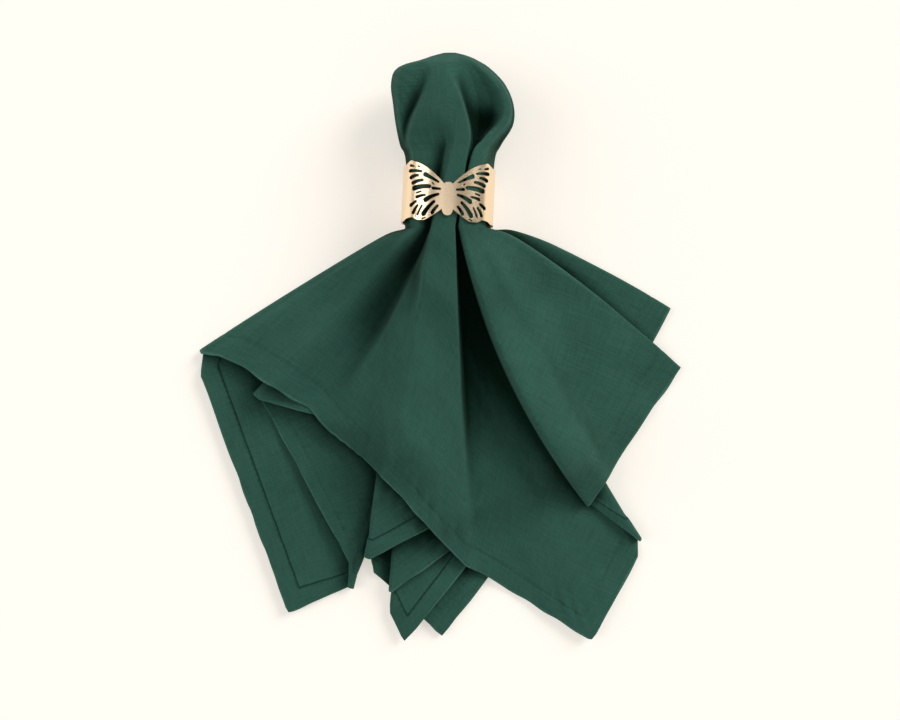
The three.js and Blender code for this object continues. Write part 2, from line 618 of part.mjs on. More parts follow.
// What is cut off the sides and the back, so that they end lower than the wing tips
function sideSlab() {
  const low = butterfly.upper[0][1];
  const high = ring.length / 2 + cutter.beyond;
  const top = cutter.bottom + cutter.overlap;
  const geometry = new THREE.BoxGeometry(ring.width + 2 * cutter.beyond, high - low, top + cutter.beyond);
  geometry.translate(0, (high + low) / 2, (top - cutter.beyond) / 2);
  return toSolid(geometry);
}

// Outline of one cell of a wing: a slot with two round ends, one on each side of its middle
function cellShape(cell, hand) {
  const turn = hand > 0 ? cell.turn : Math.PI - cell.turn;
  const reach = cell.length / 2;
  const near = [hand * cell.x - reach * Math.cos(turn), cell.y - reach * Math.sin(turn)];
  const far = [hand * cell.x + reach * Math.cos(turn), cell.y + reach * Math.sin(turn)];
  const lean = Math.asin((cell.far - cell.near) / cell.length);
  const quarter = Math.PI / 2;
  const shape = new THREE.Shape();
  shape.absarc(near[0], near[1], cell.near, turn + quarter + lean, turn + 3 * quarter - lean, false);
  shape.absarc(far[0], far[1], cell.far, turn - quarter - lean, turn + quarter + lean, false);
  return shape;
}

function makeRing() {
  const edge = ring.length / 2 + cutter.beyond;
  let solid = makeBand().subtract(sideSlab());
  for (const shape of [notchShape(butterfly.upper, edge), notchShape(butterfly.lower, -edge)]) {
    solid = solid.subtract(makeCutter(shape));
  }
  for (const cell of cells) {
    for (const hand of [-1, 1]) {
      solid = solid.subtract(makeCutter(cellShape(cell, hand)));
    }
  }
  const mesh = new THREE.Mesh(
    toGeometry(solid),
    new THREE.MeshStandardMaterial({ color: colours.ring, roughness: 0.25, metalness: 1 }),
  );
  mesh.name = 'ring';
  mesh.position.set(ring.x, ring.y, 0);
  mesh.rotation.z = ring.turn;
  return mesh;
}

// The whole object, moved so that the origin is under the middle of it
const object = new THREE.Group();
object.add(makeNapkin(), makeRing());
const middle = new THREE.Box3().setFromObject(object).getCenter(new THREE.Vector3());
object.position.set(-middle.x, -middle.y, 0);

const group = new THREE.Group();
group.add(object);

export default group;
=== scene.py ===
# A cloth napkin drawn through a napkin ring, lying on a table. Sizes are in millimetres until a mesh is made
import bmesh
import bpy
import math
import numpy as np
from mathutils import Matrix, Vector


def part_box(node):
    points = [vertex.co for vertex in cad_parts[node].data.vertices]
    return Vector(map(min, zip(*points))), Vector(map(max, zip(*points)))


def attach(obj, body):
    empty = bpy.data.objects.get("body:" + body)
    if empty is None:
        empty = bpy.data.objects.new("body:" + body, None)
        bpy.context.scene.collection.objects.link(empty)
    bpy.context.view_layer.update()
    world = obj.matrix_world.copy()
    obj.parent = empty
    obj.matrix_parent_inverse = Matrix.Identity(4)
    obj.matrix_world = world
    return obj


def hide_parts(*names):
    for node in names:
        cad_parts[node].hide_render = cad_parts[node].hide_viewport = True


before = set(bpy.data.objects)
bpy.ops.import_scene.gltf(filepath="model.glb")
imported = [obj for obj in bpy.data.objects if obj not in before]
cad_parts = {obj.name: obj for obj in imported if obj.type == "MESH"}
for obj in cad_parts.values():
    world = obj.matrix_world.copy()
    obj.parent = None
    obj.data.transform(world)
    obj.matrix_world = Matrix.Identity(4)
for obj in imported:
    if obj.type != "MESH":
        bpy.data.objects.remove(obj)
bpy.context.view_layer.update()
mm = 0.001
overTable = 0.02    # the least height of the cloth and its stitches

# Size of the ring and its place in the maker's own frame
ring = {
    "centre": np.array((3.2, 73.5)), "width": 44.5, "height": 42, "length": 28.5, "sheet": 0.8,
    "fullness": 2.5, "turn": -0.045, "edge": 0.16, "steps": 220,
}

# The way from the maker's frame to the loaded one, by the low corner of the turned ring's box
halfSizes = np.array((ring["width"], ring["length"])) / 2
ringReach = math.cos(ring["turn"]) * halfSizes + abs(math.sin(ring["turn"])) * halfSizes[::-1]
lowCorner = np.array(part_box("ring")[0][:2]) / mm
shift = np.append(lowCorner - (ring["centre"] - ringReach), 0)


# Small helpers on whole arrays
def mix(a, b, t):
    return a + (b - a) * t


def ease(t):  # 0 below 0, 1 above 1, level at both ends
    t = np.clip(t, 0, 1)
    return t * t * (3 - 2 * t)


def bezier(start, bend, end, t):  # a quadratic curve: (1-t)^2 start + 2t(1-t) bend + t^2 end
    return (1 - t) ** 2 * start + 2 * t * (1 - t) * bend + t ** 2 * end


def superellipse(angle, fullness):  # a rounded rectangle's point: signed powers of cosine and sine
    power = 2 / fullness
    c, s = np.cos(angle), np.sin(angle)
    return np.sign(c) * np.abs(c) ** power, np.sign(s) * np.abs(s) ** power


def makeObject(name, points, faces, material=None):  # a smooth mesh from points in millimetres
    mesh = bpy.data.meshes.new(name)
    mesh.from_pydata((points * mm).tolist(), [], faces)
    if material:
        mesh.materials.append(material)
    mesh.polygons.foreach_set("use_smooth", np.ones(len(mesh.polygons), bool))
    mesh.update()
    obj = bpy.data.objects.new(name, mesh)
    bpy.context.scene.collection.objects.link(obj)
    return obj


def gridFaces(rows, cols, closed):  # quads of a grid whose vertices run row by row
    r = np.arange(rows - 1)[:, None]
    c = np.arange(cols if closed else cols - 1)[None, :]
    a = r * cols + c
    b = r * cols + (c + 1) % cols
    return np.stack([a, b, b + cols, a + cols], -1).reshape(-1, 4)


# Small helpers for materials
def setInputs(tree, node, inputs):  # each input is a number or colour to set, or another node's output to link
    for name, value in inputs.items():
        if isinstance(value, bpy.types.NodeSocket):
            tree.links.new(value, node.inputs[name])
        else:
            node.inputs[name].default_value = value


def addNode(tree, kind, inputs, **settings):
    node = tree.nodes.new("ShaderNode" + kind)
    for name, value in settings.items():
        setattr(node, name, value)
    setInputs(tree, node, inputs)
    return node


def calculate(tree, kind, *values):  # one Math node
    return addNode(tree, "Math", dict(enumerate(values)), operation=kind).outputs[0]


def ramp(tree, value, low, high, **settings):  # 1 up to low, 0 from high on
    limits = {"From Min": low, "From Max": high, "To Min": 1, "To Max": 0}
    return addNode(tree, "MapRange", {"Value": value, **limits}, **settings).outputs["Result"]


def newMaterial(name, settings):
    material = bpy.data.materials.new(name)
    material.use_nodes = True
    tree = material.node_tree
    shader = tree.nodes["Principled BSDF"]
    setInputs(tree, shader, settings)
    return material, tree, shader


def newGroup(name, numbers, outputs):  # a node group with a Vector input, number inputs and number outputs
    tree = bpy.data.node_groups.new(name, "ShaderNodeTree")
    tree.interface.new_socket("Vector", in_out="INPUT", socket_type="NodeSocketVector")
    for socket, value in numbers.items():
        made = tree.interface.new_socket(socket, in_out="INPUT", socket_type="NodeSocketFloat")
        made.default_value = value
    for socket in outputs:
        tree.interface.new_socket(socket, in_out="OUTPUT", socket_type="NodeSocketFloat")
    return tree, tree.nodes.new("NodeGroupInput"), tree.nodes.new("NodeGroupOutput")


# The cloth's weave and hem as the materials show them, in metres on the flat cloth
weaveLook = {
    "threads": 1900.0,                              # per metre
    "unevenness": 0.4, "wobble": 260,               # how far the threads wander, in threads, and how often
    "crossing": 0.35,                               # how much a thread rises where it goes over another
    "slubs": ((1300, 90, 1), (90, 1300, 1)),        # thick places, long and narrow along either set of threads
}
hemLook = {
    "halfSide": 0.205, "seam": 0.0096,              # from the cloth's middle to its edge, and from there in
    # widths over which the seam's painted shade and the rim's painted highlight fade out
    "seamWidth": (0.00015, 0.0006), "paintedRimHighlightWidth": (0.0003, 0.0012),
    "onFace": 0.12, "onBack": 0.85,                 # strength of the painted shade along the seam, partly darker thread, and what the back adds
}


def makeWeaveGroup():
    # Plain weave: two crossed sets of threads, each going over and under the other in turn
    numbers = {"Threads per metre": weaveLook["threads"], "Unevenness": weaveLook["unevenness"]}
    tree, start, end = newGroup("plainWeave", numbers, ("Height", "Thread"))
    place = start.outputs["Vector"]
    wobble = addNode(tree, "TexNoise", {"Vector": place, "Scale": weaveLook["wobble"]}).outputs["Fac"]
    drift = calculate(tree, "MULTIPLY", calculate(tree, "SUBTRACT", wobble, 0.5), start.outputs["Unevenness"])
    split = addNode(tree, "SeparateXYZ", {"Vector": place})
    phases = []
    for axis in "XY":
        count = calculate(tree, "MULTIPLY", split.outputs[axis], start.outputs["Threads per metre"])
        phases.append(calculate(tree, "MULTIPLY", calculate(tree, "ADD", count, drift), math.pi))
    warp, weft = (calculate(tree, "ABSOLUTE", calculate(tree, "SINE", phase)) for phase in phases)
    over = calculate(tree, "MULTIPLY", *(calculate(tree, "COSINE", phase) for phase in phases))
    crown = calculate(tree, "ADD", calculate(tree, "MULTIPLY", over, weaveLook["crossing"]), 0.5)
    slubs = []
    for scale in weaveLook["slubs"]:
        stretch = addNode(tree, "Mapping", {"Vector": place, "Scale": scale})
        noise = addNode(tree, "TexNoise", {"Vector": stretch.outputs["Vector"], "Scale": 1})
        slubs.append(noise.outputs["Fac"])
    setInputs(tree, end, {
        "Height": calculate(tree, "MULTIPLY", calculate(tree, "ADD", warp, weft), crown),
        "Thread": calculate(tree, "MULTIPLY", calculate(tree, "ADD", *slubs), 0.5),
    })
    return tree


def makeHemGroup():
    # From a place on the flat cloth to its distance from the nearest edge: masks for the painted shade along
    # the hem's inner edge, partly darker thread, and for the painted highlight on the hem's rim
    tree, start, end = newGroup("hemEdge", {"Back": 0}, ("Seam", "PaintedRimHighlight"))
    split = addNode(tree, "SeparateXYZ", {"Vector": start.outputs["Vector"]})
    outermost = calculate(tree, "MAXIMUM", *(calculate(tree, "ABSOLUTE", split.outputs[axis]) for axis in "XY"))
    inwards = calculate(tree, "SUBTRACT", hemLook["halfSide"], outermost)
    fromSeam = calculate(tree, "ABSOLUTE", calculate(tree, "SUBTRACT", inwards, hemLook["seam"]))
    added = calculate(tree, "MULTIPLY", start.outputs["Back"], hemLook["onBack"])
    strength = calculate(tree, "ADD", added, hemLook["onFace"])
    setInputs(tree, end, {
        "Seam": calculate(tree, "MULTIPLY", ramp(tree, fromSeam, *hemLook["seamWidth"]), strength),
        "PaintedRimHighlight": ramp(tree, inwards, *hemLook["paintedRimHighlightWidth"]),
    })
    return tree


weaveGroup = makeWeaveGroup()


def clothMaterial(name, base, shade, paintsLight):
    # Cotton: base to shade by thread and by slow blotches, weave and fuzz in the bump. On the napkin, light is
    # painted in: painted shade darkens the deep folds and the line at the hem's inner edge, where it is partly
    # darker thread, and a painted highlight lightens the hem's rim
    material, tree, shader = newMaterial(name, {
        "Roughness": 0.92, "Specular IOR Level": 0.15,
        "Sheen Weight": 0.12, "Sheen Roughness": 0.45, "Sheen Tint": (0.4, 0.85, 0.7, 1),
    })
    uv = addNode(tree, "UVMap", {}, uv_map="cloth").outputs["UV"]
    weave = addNode(tree, "Group", {"Vector": uv}, node_tree=weaveGroup)
    blotch = addNode(tree, "TexNoise", {"Vector": uv, "Scale": 38, "Detail": 4}).outputs["Fac"]
    thread = calculate(tree, "MULTIPLY_ADD", weave.outputs["Thread"], 3.2, -1.6)
    total = calculate(tree, "MULTIPLY_ADD", blotch, 1.1, thread)
    colour = addNode(tree, "Mix", {"Factor": total, "A": shade, "B": base}, data_type="RGBA").outputs["Result"]
    if paintsLight:
        backAndFoldShade = addNode(tree, "Attribute", {}, attribute_name="backAndFoldShade")
        parts = addNode(tree, "SeparateColor", {"Color": backAndFoldShade.outputs["Color"]})
        edge = addNode(tree, "Group", {"Vector": uv, "Back": parts.outputs["Red"]}, node_tree=makeHemGroup())
        # Painted shade where the cloth sees little sky, in the deep folds; painted shade at the seam, partly
        # darker thread; a painted highlight on the hem's rim
        paintedFoldShade = ramp(tree, parts.outputs["Blue"], 0.42, 0.93, interpolation_type="SMOOTHSTEP")
        tints = ((paintedFoldShade, (0.06, 0.2, 0.14, 1)), (edge.outputs["Seam"], (0.2, 0.3, 0.27, 1)),
                 (edge.outputs["PaintedRimHighlight"], (1.9, 1.6, 1.65, 1)))
        for factor, tint in tints:
            colour = addNode(tree, "Mix", {"Factor": factor, "A": colour, "B": tint}, data_type="RGBA",
                             blend_type="MULTIPLY").outputs["Result"]
    bump = addNode(tree, "Bump", {"Height": weave.outputs["Height"], "Strength": 0.5, "Distance": 0.0003})
    fuzz = addNode(tree, "TexNoise", {"Vector": uv, "Scale": 900, "Detail": 3})
    fuzzBump = addNode(tree, "Bump", {"Height": fuzz.outputs["Fac"], "Normal": bump.outputs["Normal"],
                                      "Strength": 0.4, "Distance": 0.0006})
    setInputs(tree, shader, {"Base Color": colour, "Normal": fuzzBump.outputs["Normal"]})
    return material


def metalMaterial(name, colour, roughness):
    # Polished metal with very fine brushing across it and slow unevenness in its gloss
    material, tree, shader = newMaterial(name, {"Metallic": 1, "Base Color": colour})
    place = addNode(tree, "TexCoord", {}).outputs["Object"]
    stretch = addNode(tree, "Mapping", {"Vector": place, "Scale": (250, 4000, 250)})
    grain = addNode(tree, "TexNoise", {"Vector": stretch.outputs["Vector"], "Scale": 1}).outputs["Fac"]
    gloss = addNode(tree, "MapRange", {"Value": grain, "To Min": roughness - 0.04, "To Max": roughness + 0.07})
    bump = addNode(tree, "Bump", {"Height": grain, "Strength": 0.06, "Distance": 0.0001})
    setInputs(tree, shader, {"Roughness": gloss.outputs["Result"], "Normal": bump.outputs["Normal"]})
    return material


print("materials")


# Napkin
cloth = {
    "side": 410,            # flat size of the square
    "thickness": 0.55,
    "hemWidth": 9.5,        # the turned-up edge
    "hemThickness": 1.25,
    "gap": 1.35,            # from one layer's middle to the next where they lie on each other
    "puffRows": 32,
    "ringRows": 10,
    "skirtRows": 58,
    "foldSteps": 7,
}
turnedUp = (9.4, 8.9, 8.3, 7, 5, 3, 1.4, 0.6, 0.2, 0)   # rows of the hem, by distance from the edge
layerTotal = 12

# The folds, corners and creases met on a walk round the hem. hem: distance walked. side: 1 folds back at
# the right, -1 at the left, 0 no fold. across: place in the ring's opening. bend and end: the crease's way
# to the hem. lift: height over what it lies on, at a quarter, half and three quarters of its way and at the
# hem. bulge: how far the round of a fold stands out. step: how far apart the columns after it are.
keyColumns = ("name", "hem", "side", "across", "bend", "end", "lift", "bulge", "step")
keyRows = (
    ("flapEdge",     125, 0, -0.86, None, (-120, -14.2), (0, 1, 2, 3), 0, 3),
    ("leftFold",     138, -1, -0.86, (-33, 54), (-119.4, -2.6), (4, 3, 3, 2.5), 2, 3.4),
    ("leftPanel",    150, 0, -0.84, (-30, 53), (-110.5, -3.9), (5, 5, 5, 4), 0, 3.4),
    ("groove",       161, 0, -0.78, (-26, 50), (-99.6, -9.2), (6, 6, 6, 5), 0, 3.2),
    ("shoulder",     178, 0, -0.6, (-22, 46), (-87.2, -16.6), (8, 8, 8, 7), 0, 3),
    ("valley",       206, 0, -0.385, (-14, 31), (-65.8, -29.8), (0, 0, 1, 0.5), 0, 3),
    ("underPleat",   222, 0, -0.35, (-15, 24), (-56.2, -40), (8.5, 12, 11.5, 3), 0, 3),
    ("pleatLeft",    267, 0, -0.327, (-13, 1), (-24.8, -66.2), (16, 20, 18, 7), 0, 3),
    ("pleatRight",   326, 0, 0.17, (8.5, -25), (12, -108), (14, 13, 6, 2), 0, 2.5),
    ("hollow",       336, 0, 0.2, (11, -26), (20, -112.5), (0, 0, 0, 0), 0, 3),
    ("frontCorner",  410, 0, 0.4, (38, -50), (75, -146), (0, 0, 3, 4), 0, 3.4),
    ("cornerEdge",   452, 0, 0.53, (49, -26), (97.8, -104), (0, 1, 2.5, 2), 0, 3),
    ("tuckRight",    463, 1, 0.55, (50, -20), (98.2, -95.8), (0, 2, 5, 1.6), 0.8, 3.5),
    ("tuckLeft",     491, -1, 0.34, (27.5, -21), (73.6, -77), (16, 20, 18, 2), 1.8, 2.8),
    ("rightCrease",  530, 0, 0.5, (42, 2), (92.4, -48.4), (12, 11, 6, 1.5), 0, 3.4),
    ("rightFold",    570, 1, 0.8, (46, 52), (119, -11), (3, 2, 1, 0.5), 1.8, 5),
    ("innerLeft",    588, -1, -0.7, (30, 30), (100, -8), (0, 0, 0, 0), 1.4, 5),
    ("backRight",    616, 1, 0.83, (49, 58), (113.5, 19), (2, 1, 1, 0.5), 2, 9),
    ("lowCorner",    820, 0, 0, None, (-18.5, -146.5), (0, 0, 1, 3), 0, 4),
    ("lowSide",      835, 0, -0.3, None, (-25.4, -132), (0, 0, 1, 2), 0, 4),
    ("pleatLeftA",   848, -1, -0.62, None, (-24.5, -120.5), (0, 0, 1, 2), 1.8, 10),
    ("hiddenRightA", 1010, 1, 0.66, None, (100, -32.5), (0, 0, 0, 0), 1.5, 8),
    ("pleatLeftB",   1174, -1, -0.78, (-26, -40), (-35, -103), (1, 2, 6, 8), 2.6, 4),
    ("lowerLip",     1186, 0, -0.74, (-26, -46), (-34, -112), (0, 0, 0, 0), 0, 4),
    ("backCorner",   1230, 0, 0, None, (0, -144), (0, 0, 1, 2), 0, 6),
    ("hiddenRightB", 1332, 1, 0.8, None, (61, -66), (0, 0, 0, 0), 1.5, 10),
    ("pleatLeftC",   1497, -1, -0.76, None, (-90, -25.5), (1, 2, 4, 6), 3.6, 4),
    ("flapUpper",    1592, 0, 0.58, (-28, -62), (-46, -106), (0, 1, 2, 4), 0, 3),
    ("flapRight",    1605, 1, 0.6, (-29, -66), (-46.5, -119), (1, 2, 4, 4), 2.6, 3.5),
    ("flapCorner",   1640, 0, 0, None, (-76.5, -132), (0, 0, 1, 3), 0, 3.4),
)
keys = [dict(zip(keyColumns, row)) for row in keyRows]

# The layer after each fold on the walk, by its place in the pile, 1 on top
pile = {
    "leftFold": 3, "tuckRight": 2, "tuckLeft": 1, "rightFold": 4, "innerLeft": 5, "backRight": 8,
    "pleatLeftA": 7, "hiddenRightA": 6, "pleatLeftB": 9, "hiddenRightB": 10, "pleatLeftC": 11, "flapRight": 12,
}

# Sections across the cloth, from the puff's top to just below the ring: centre, half width and half depth
# of the outline, how far the inner pleats and the tuck are closed, how evenly the back is spread round it,
# and the place across and the level of each front crease
frontNames = ("leftFold", "leftPanel", "groove", "shoulder", "valley", "underPleat", "pleatLeft",
              "pleatRight", "hollow", "frontCorner", "tuckRight", "tuckLeft", "rightCrease", "rightFold")
sectionColumns = ("y", "centre", "half", "depth", "pleats", "tuck", "spread", "across", "level")
sectionRows = (
    (141.9, 3.9, 4, 2.2, 0, 0, 1,
     (-0.9, -0.7, -0.45, -0.25, -0.1, -0.05, 0, 0.1, 0.3, 0.42, 0.5, 0.6, 0.72, 0.86),
     (0.9, 1, 1, 1, 1, 1, 1, 1, 1, 1, 1, 1, 1, 0.9)),
    (140.4, 4, 9.2, 4.4, 0, 0, 1,
     (-0.9, -0.7, -0.45, -0.25, -0.1, -0.05, 0, 0.1, 0.3, 0.42, 0.5, 0.6, 0.72, 0.86),
     (0.9, 1, 1, 1, 1, 1, 1, 1, 1, 1, 1, 1, 1, 0.9)),
    (138, 3, 15, 7.6, 0, 0, 1,
     (-0.9, -0.7, -0.42, -0.22, -0.1, -0.06, -0.02, 0.08, 0.34, 0.46, 0.55, 0.66, 0.78, 0.88),
     (0.9, 1, 0.98, 1, 1, 1, 1, 1, 0.96, 0.95, 0.96, 1, 0.97, 0.85)),
    (134.6, 0.6, 22.5, 11, 0, 0, 1,
     (-0.92, -0.75, -0.4, -0.22, -0.12, -0.07, -0.03, 0.06, 0.38, 0.5, 0.6, 0.72, 0.82, 0.9),
     (0.85, 1, 0.9, 0.98, 1, 1, 1, 1, 0.8, 0.78, 0.82, 0.98, 0.95, 0.8)),
    (127.3, 2.8, 27.3, 15, 0, 0, 1,
     (-0.93, -0.8, -0.44, -0.3, -0.18, -0.13, -0.08, 0.06, 0.2, 0.44, 0.62, 0.78, 0.88, 0.94),
     (0.7, 0.97, 0.55, 0.93, 1, 1, 1, 0.98, 0.66, 0.48, 0.54, 0.84, 0.9, 0.7)),
    (117.7, 5.5, 28.8, 18, 0, 0, 0.85,
     (-0.94, -0.85, -0.62, -0.52, -0.3, -0.2, -0.12, 0.12, 0.18, 0.42, 0.64, 0.84, 0.93, 0.97),
     (0.6, 0.8, 0.16, 0.88, 1, 1, 1, 0.98, 0.42, 0.24, 0.28, 0.66, 0.8, 0.5)),
    (108, 6.3, 28, 19, 0, 0, 0.6,
     (-0.95, -0.91, -0.82, -0.71, -0.35, -0.2, -0.1, 0.21, 0.26, 0.42, 0.6, 0.78, 0.9, 0.96),
     (0.45, 0.6, 0.16, 0.86, 0.97, 1, 1, 0.98, 0.05, -0.15, -0.05, 0.66, 0.85, 0.5)),
    (98.3, 4.7, 23.8, 19.6, 0, 0, 0.3,
     (-0.96, -0.94, -0.91, -0.84, -0.14, -0.05, 0.06, 0.36, 0.42, 0.48, 0.54, 0.63, 0.8, 0.94),
     (0.3, 0.4, 0.5, 0.78, 0.72, 0.86, 0.97, 0.97, -0.05, -0.05, 0.05, 0.85, 0.92, 0.45)),
    (89.4, 4.1, 21.1, 19.6, 0, 0.8, 0,
     (-0.91, -0.9, -0.88, -0.8, -0.18, -0.1, -0.01, 0.36, 0.41, 0.5, 0.58, 0.53, 0.73, 0.9),
     (0.4, 0.5, 0.6, 0.85, 0.5, 0.8, 0.98, 0.98, 0.1, 0.1, 0.2, 1, 1, 0.7)),
    (57, 2.5, 21, 19.2, 1, 1, 0,
     (-0.86, -0.84, -0.78, -0.6, -0.385, -0.355, -0.327, 0.17, 0.2, 0.4, 0.55, 0.34, 0.5, 0.82),
     (0.6, 0.72, 0.85, 0.96, 0.36, 0.66, 1, 1, 0.15, 0.15, 0.25, 1, 1, 0.9)),
)
sectionTable = np.array([np.hstack(row) for row in sectionRows])
puffTop = np.array((3.9, 142.4, 21))
axisHeight = 21
sectionFullness = 2.5
drawnSpan = (0.1, -0.95)    # stretch of the outline, as angles, where the inner cloth lies in the puff
tuckSplit = 0.18            # how far apart the levels of the tuck's layers are in the ring


def readSection(values):  # a row of the table, or a blend of rows, as a dictionary
    section = dict(zip(sectionColumns, values[:7]))
    for name in ("pleats", "tuck", "spread"):
        section[name] = float(np.clip(section[name], 0, 1))
    section["across"], section["level"] = np.split(values[7:], 2)
    return section


neck = readSection(sectionTable[-1])

place = pile["flapRight"]
for key in keys:
    key["before"] = place
    place = pile.get(key["name"], place)
    key["after"] = place


def levelOf(place):  # level of an inner layer in the ring: they fill its lower half, under the front folds
    return mix(0.12, -1, (place - 4) / (layerTotal - 4))


def roundness(across):  # height of the rounded outline at a place across it
    side = np.minimum(0.9999, np.abs(across))
    return (1 - side ** sectionFullness) ** (1 / sectionFullness)


def makeColumns():
    # One entry a column: its key, the next one, its turn round a fold or -1, its share of the way, its layer
    found = []
    for index, key in enumerate(keys):
        following = (index + 1) % len(keys)
        steps = cloth["foldSteps"] if key["side"] else 0
        for step in range(steps + 1):
            found.append((index, following, step / steps if steps else -1, 0, key["after"]))
        walked = (keys[following]["hem"] - key["hem"]) % (4 * cloth["side"])
        steps = max(2, round(walked / key["step"]))
        for step in range(1, steps):
            found.append((index, following, -1, step / steps, key["after"]))
    return [np.array(column) for column in zip(*found)]


columnKey, columnNext, columnTurn, columnAlong, columnPlace = makeColumns()
columnTotal = len(columnKey)
folding = columnTurn >= 0
keyIndex = {key["name"]: index for index, key in enumerate(keys)}


def firstColumn(name):
    return int(np.argmax(columnKey == keyIndex[name]))


def lastFoldColumn(name):
    return firstColumn(name) + cloth["foldSteps"]


def middleColumn(name):
    return firstColumn(name) + cloth["foldSteps"] // 2


# The rolled-up pleat in the middle of the pile unrolls inside the ring, and then the others draw back
unrolledPlaces = {"pleatLeftA": 0.5, "hiddenRightA": -0.3}
rolledLayers = (6, 8)


def crossing(section, key, isBefore):  # where the cloth crosses a section at a key: across and level
    name = key["name"]
    if name == "cornerEdge":     # it runs between two creases of the table
        last = frontNames.index("tuckRight")
        return tuple(mix(section[part][last - 1], section[part][last], 0.8) for part in ("across", "level"))
    front = frontNames.index(name) if name in frontNames else -1
    if front < 0 or (name == "leftFold" and isBefore) or (name == "rightFold" and not isBefore):
        layer = key["before"] if isBefore else key["after"]
        across = key["across"] if front < 0 else section["across"][front]
        unrolled = float(ease((1 - section["pleats"]) / 0.4))
        across = mix(across, unrolledPlaces.get(name, across), unrolled)
        level = levelOf(layer)
        if layer in rolledLayers:
            level = mix(level, levelOf(7), float(ease((0.6 - section["pleats"]) / 0.3)))
        return across, level
    level = section["level"][front]
    if name == "tuckRight" and not isBefore:
        level += tuckSplit * section["tuck"]
    if name == "tuckLeft" and isBefore:
        level -= tuckSplit * section["tuck"]
    return section["across"][front], level


def respace(points, first, last, share):
    # Moves the points of a stretch along its own line, by a share, towards even spacing
    indices = np.arange(first, last + 1) % len(points)
    line = points[indices]
    walked = np.concatenate([[0], np.cumsum(np.linalg.norm(np.diff(line, axis=0), axis=1))])
    wanted = mix(walked, np.linspace(0, walked[-1], len(walked)), share)
    for axis in range(2):
        points[indices, axis] = np.interp(wanted, walked, line[:, axis])


def sectionPoints(section):
    # Cloth in one section: straight from key to key, half turns at the folds, then the inner cloth drawn back
    before = np.array([crossing(section, key, True) for key in keys])
    after = np.array([crossing(section, key, False) for key in keys])
    start, end = after[columnKey], before[columnNext]
    across = mix(start[:, 0], end[:, 0], columnAlong)
    level = mix(start[:, 1], end[:, 1], columnAlong)
    upper, lower = before[columnKey], after[columnKey]
    halfHeight = (upper[:, 1] - lower[:, 1]) / 2
    reach = np.abs(halfHeight) * section["depth"] * roundness(upper[:, 0])
    bulges = np.array([key["bulge"] for key in keys])[columnKey]
    sides = np.array([key["side"] for key in keys])[columnKey]
    turned = upper[:, 0] + sides * np.minimum(reach, bulges) / section["half"] * np.sin(np.pi * columnTurn)
    raised = (upper[:, 1] + lower[:, 1]) / 2 + halfHeight * np.cos(np.pi * columnTurn)
    across = np.where(folding, turned, across)
    level = np.where(folding, raised, level)
    x = section["centre"] + section["half"] * across
    z = axisHeight + section["depth"] * level * roundness(across)
    first, last = firstColumn("rightFold"), lastFoldColumn("flapRight")
    inner = np.arange(first + 1, last)
    angle = mix(drawnSpan[0], drawnSpan[1], (inner - first) / (last - first))
    outX, outZ = superellipse(angle, sectionFullness)
    drawn = ease((0.5 - section["pleats"]) / 0.4)
    x[inner] = mix(x[inner], section["centre"] + section["half"] * outX, drawn)
    z[inner] = mix(z[inner], axisHeight + section["depth"] * outZ, drawn)
    points = np.stack([x, z], 1)
    loose = 1 - section["tuck"]
    respace(points, firstColumn("hollow"), middleColumn("tuckRight"), loose)
    respace(points, middleColumn("tuckRight"), middleColumn("tuckLeft"), loose)
    respace(points, middleColumn("tuckLeft"), first, loose)
    respace(points, first, columnTotal + firstColumn("leftFold"), section["spread"])
    return np.stack([points[:, 0], np.full(columnTotal, section["y"]), points[:, 1]], 1)


neckPoints = sectionPoints(neck)
for key in keys:
    across = crossing(neck, key, False)[0]
    key["start"] = np.array((neck["centre"] + neck["half"] * across, neck["y"]))
    key["end"] = np.array(key["end"], float)
    key["bend"] = (key["start"] + key["end"]) / 2 if key["bend"] is None else np.array(key["bend"], float)

# Height fields over the table, one cell every gridStep, seen from above
gridStep = 2
gridLow = np.array((-134, -160))
gridShape = (118, 136)      # cells along Y and along X


def gridAt(field, x, y):  # the field's height at places on the table, between its cells
    gx = np.clip((x - gridLow[0]) / gridStep, 0, field.shape[1] - 1.001)
    gy = np.clip((y - gridLow[1]) / gridStep, 0, field.shape[0] - 1.001)
    i, j = gx.astype(int), gy.astype(int)
    near = mix(field[j, i], field[j, i + 1], gx - i)
    far = mix(field[j + 1, i], field[j + 1, i + 1], gx - i)
    return mix(near, far, gy - j)


# How the layers fall away from the ring, and the levels from which the three front layers fall
fall = {"halfWidth": 12, "reach": 105, "power": 1.7, "smoothing": 26}
frontFall = {1: 0.98, 2: 0.5, 3: 0.1}


def fallFromNeck(level):  # height at which a layer leaves the ring, less the further it is from it
    x = gridLow[0] + gridStep * np.arange(gridShape[1])[None, :]
    y = gridLow[1] + gridStep * np.arange(gridShape[0])[:, None]
    aside = np.abs(x - neck["centre"])
    height = axisHeight + neck["depth"] * level * roundness(np.minimum(0.8, aside / neck["half"]))
    away = np.hypot(np.maximum(0, aside - fall["halfWidth"]), neck["y"] - y)
    share = np.maximum(0, 1 - away / (fall["reach"] * (0.6 + 0.2 * (level + 1))))
    return height * share ** fall["power"]


def smoothOver(base):  # bridges the steps of a height field, never going below it
    values = base.copy()
    for _ in range(fall["smoothing"]):
        around = (values[:-2, 1:-1] + values[2:, 1:-1] + values[1:-1, :-2] + values[1:-1, 2:]) / 4
        values[1:-1, 1:-1] = np.maximum(base[1:-1, 1:-1], around)
    return values


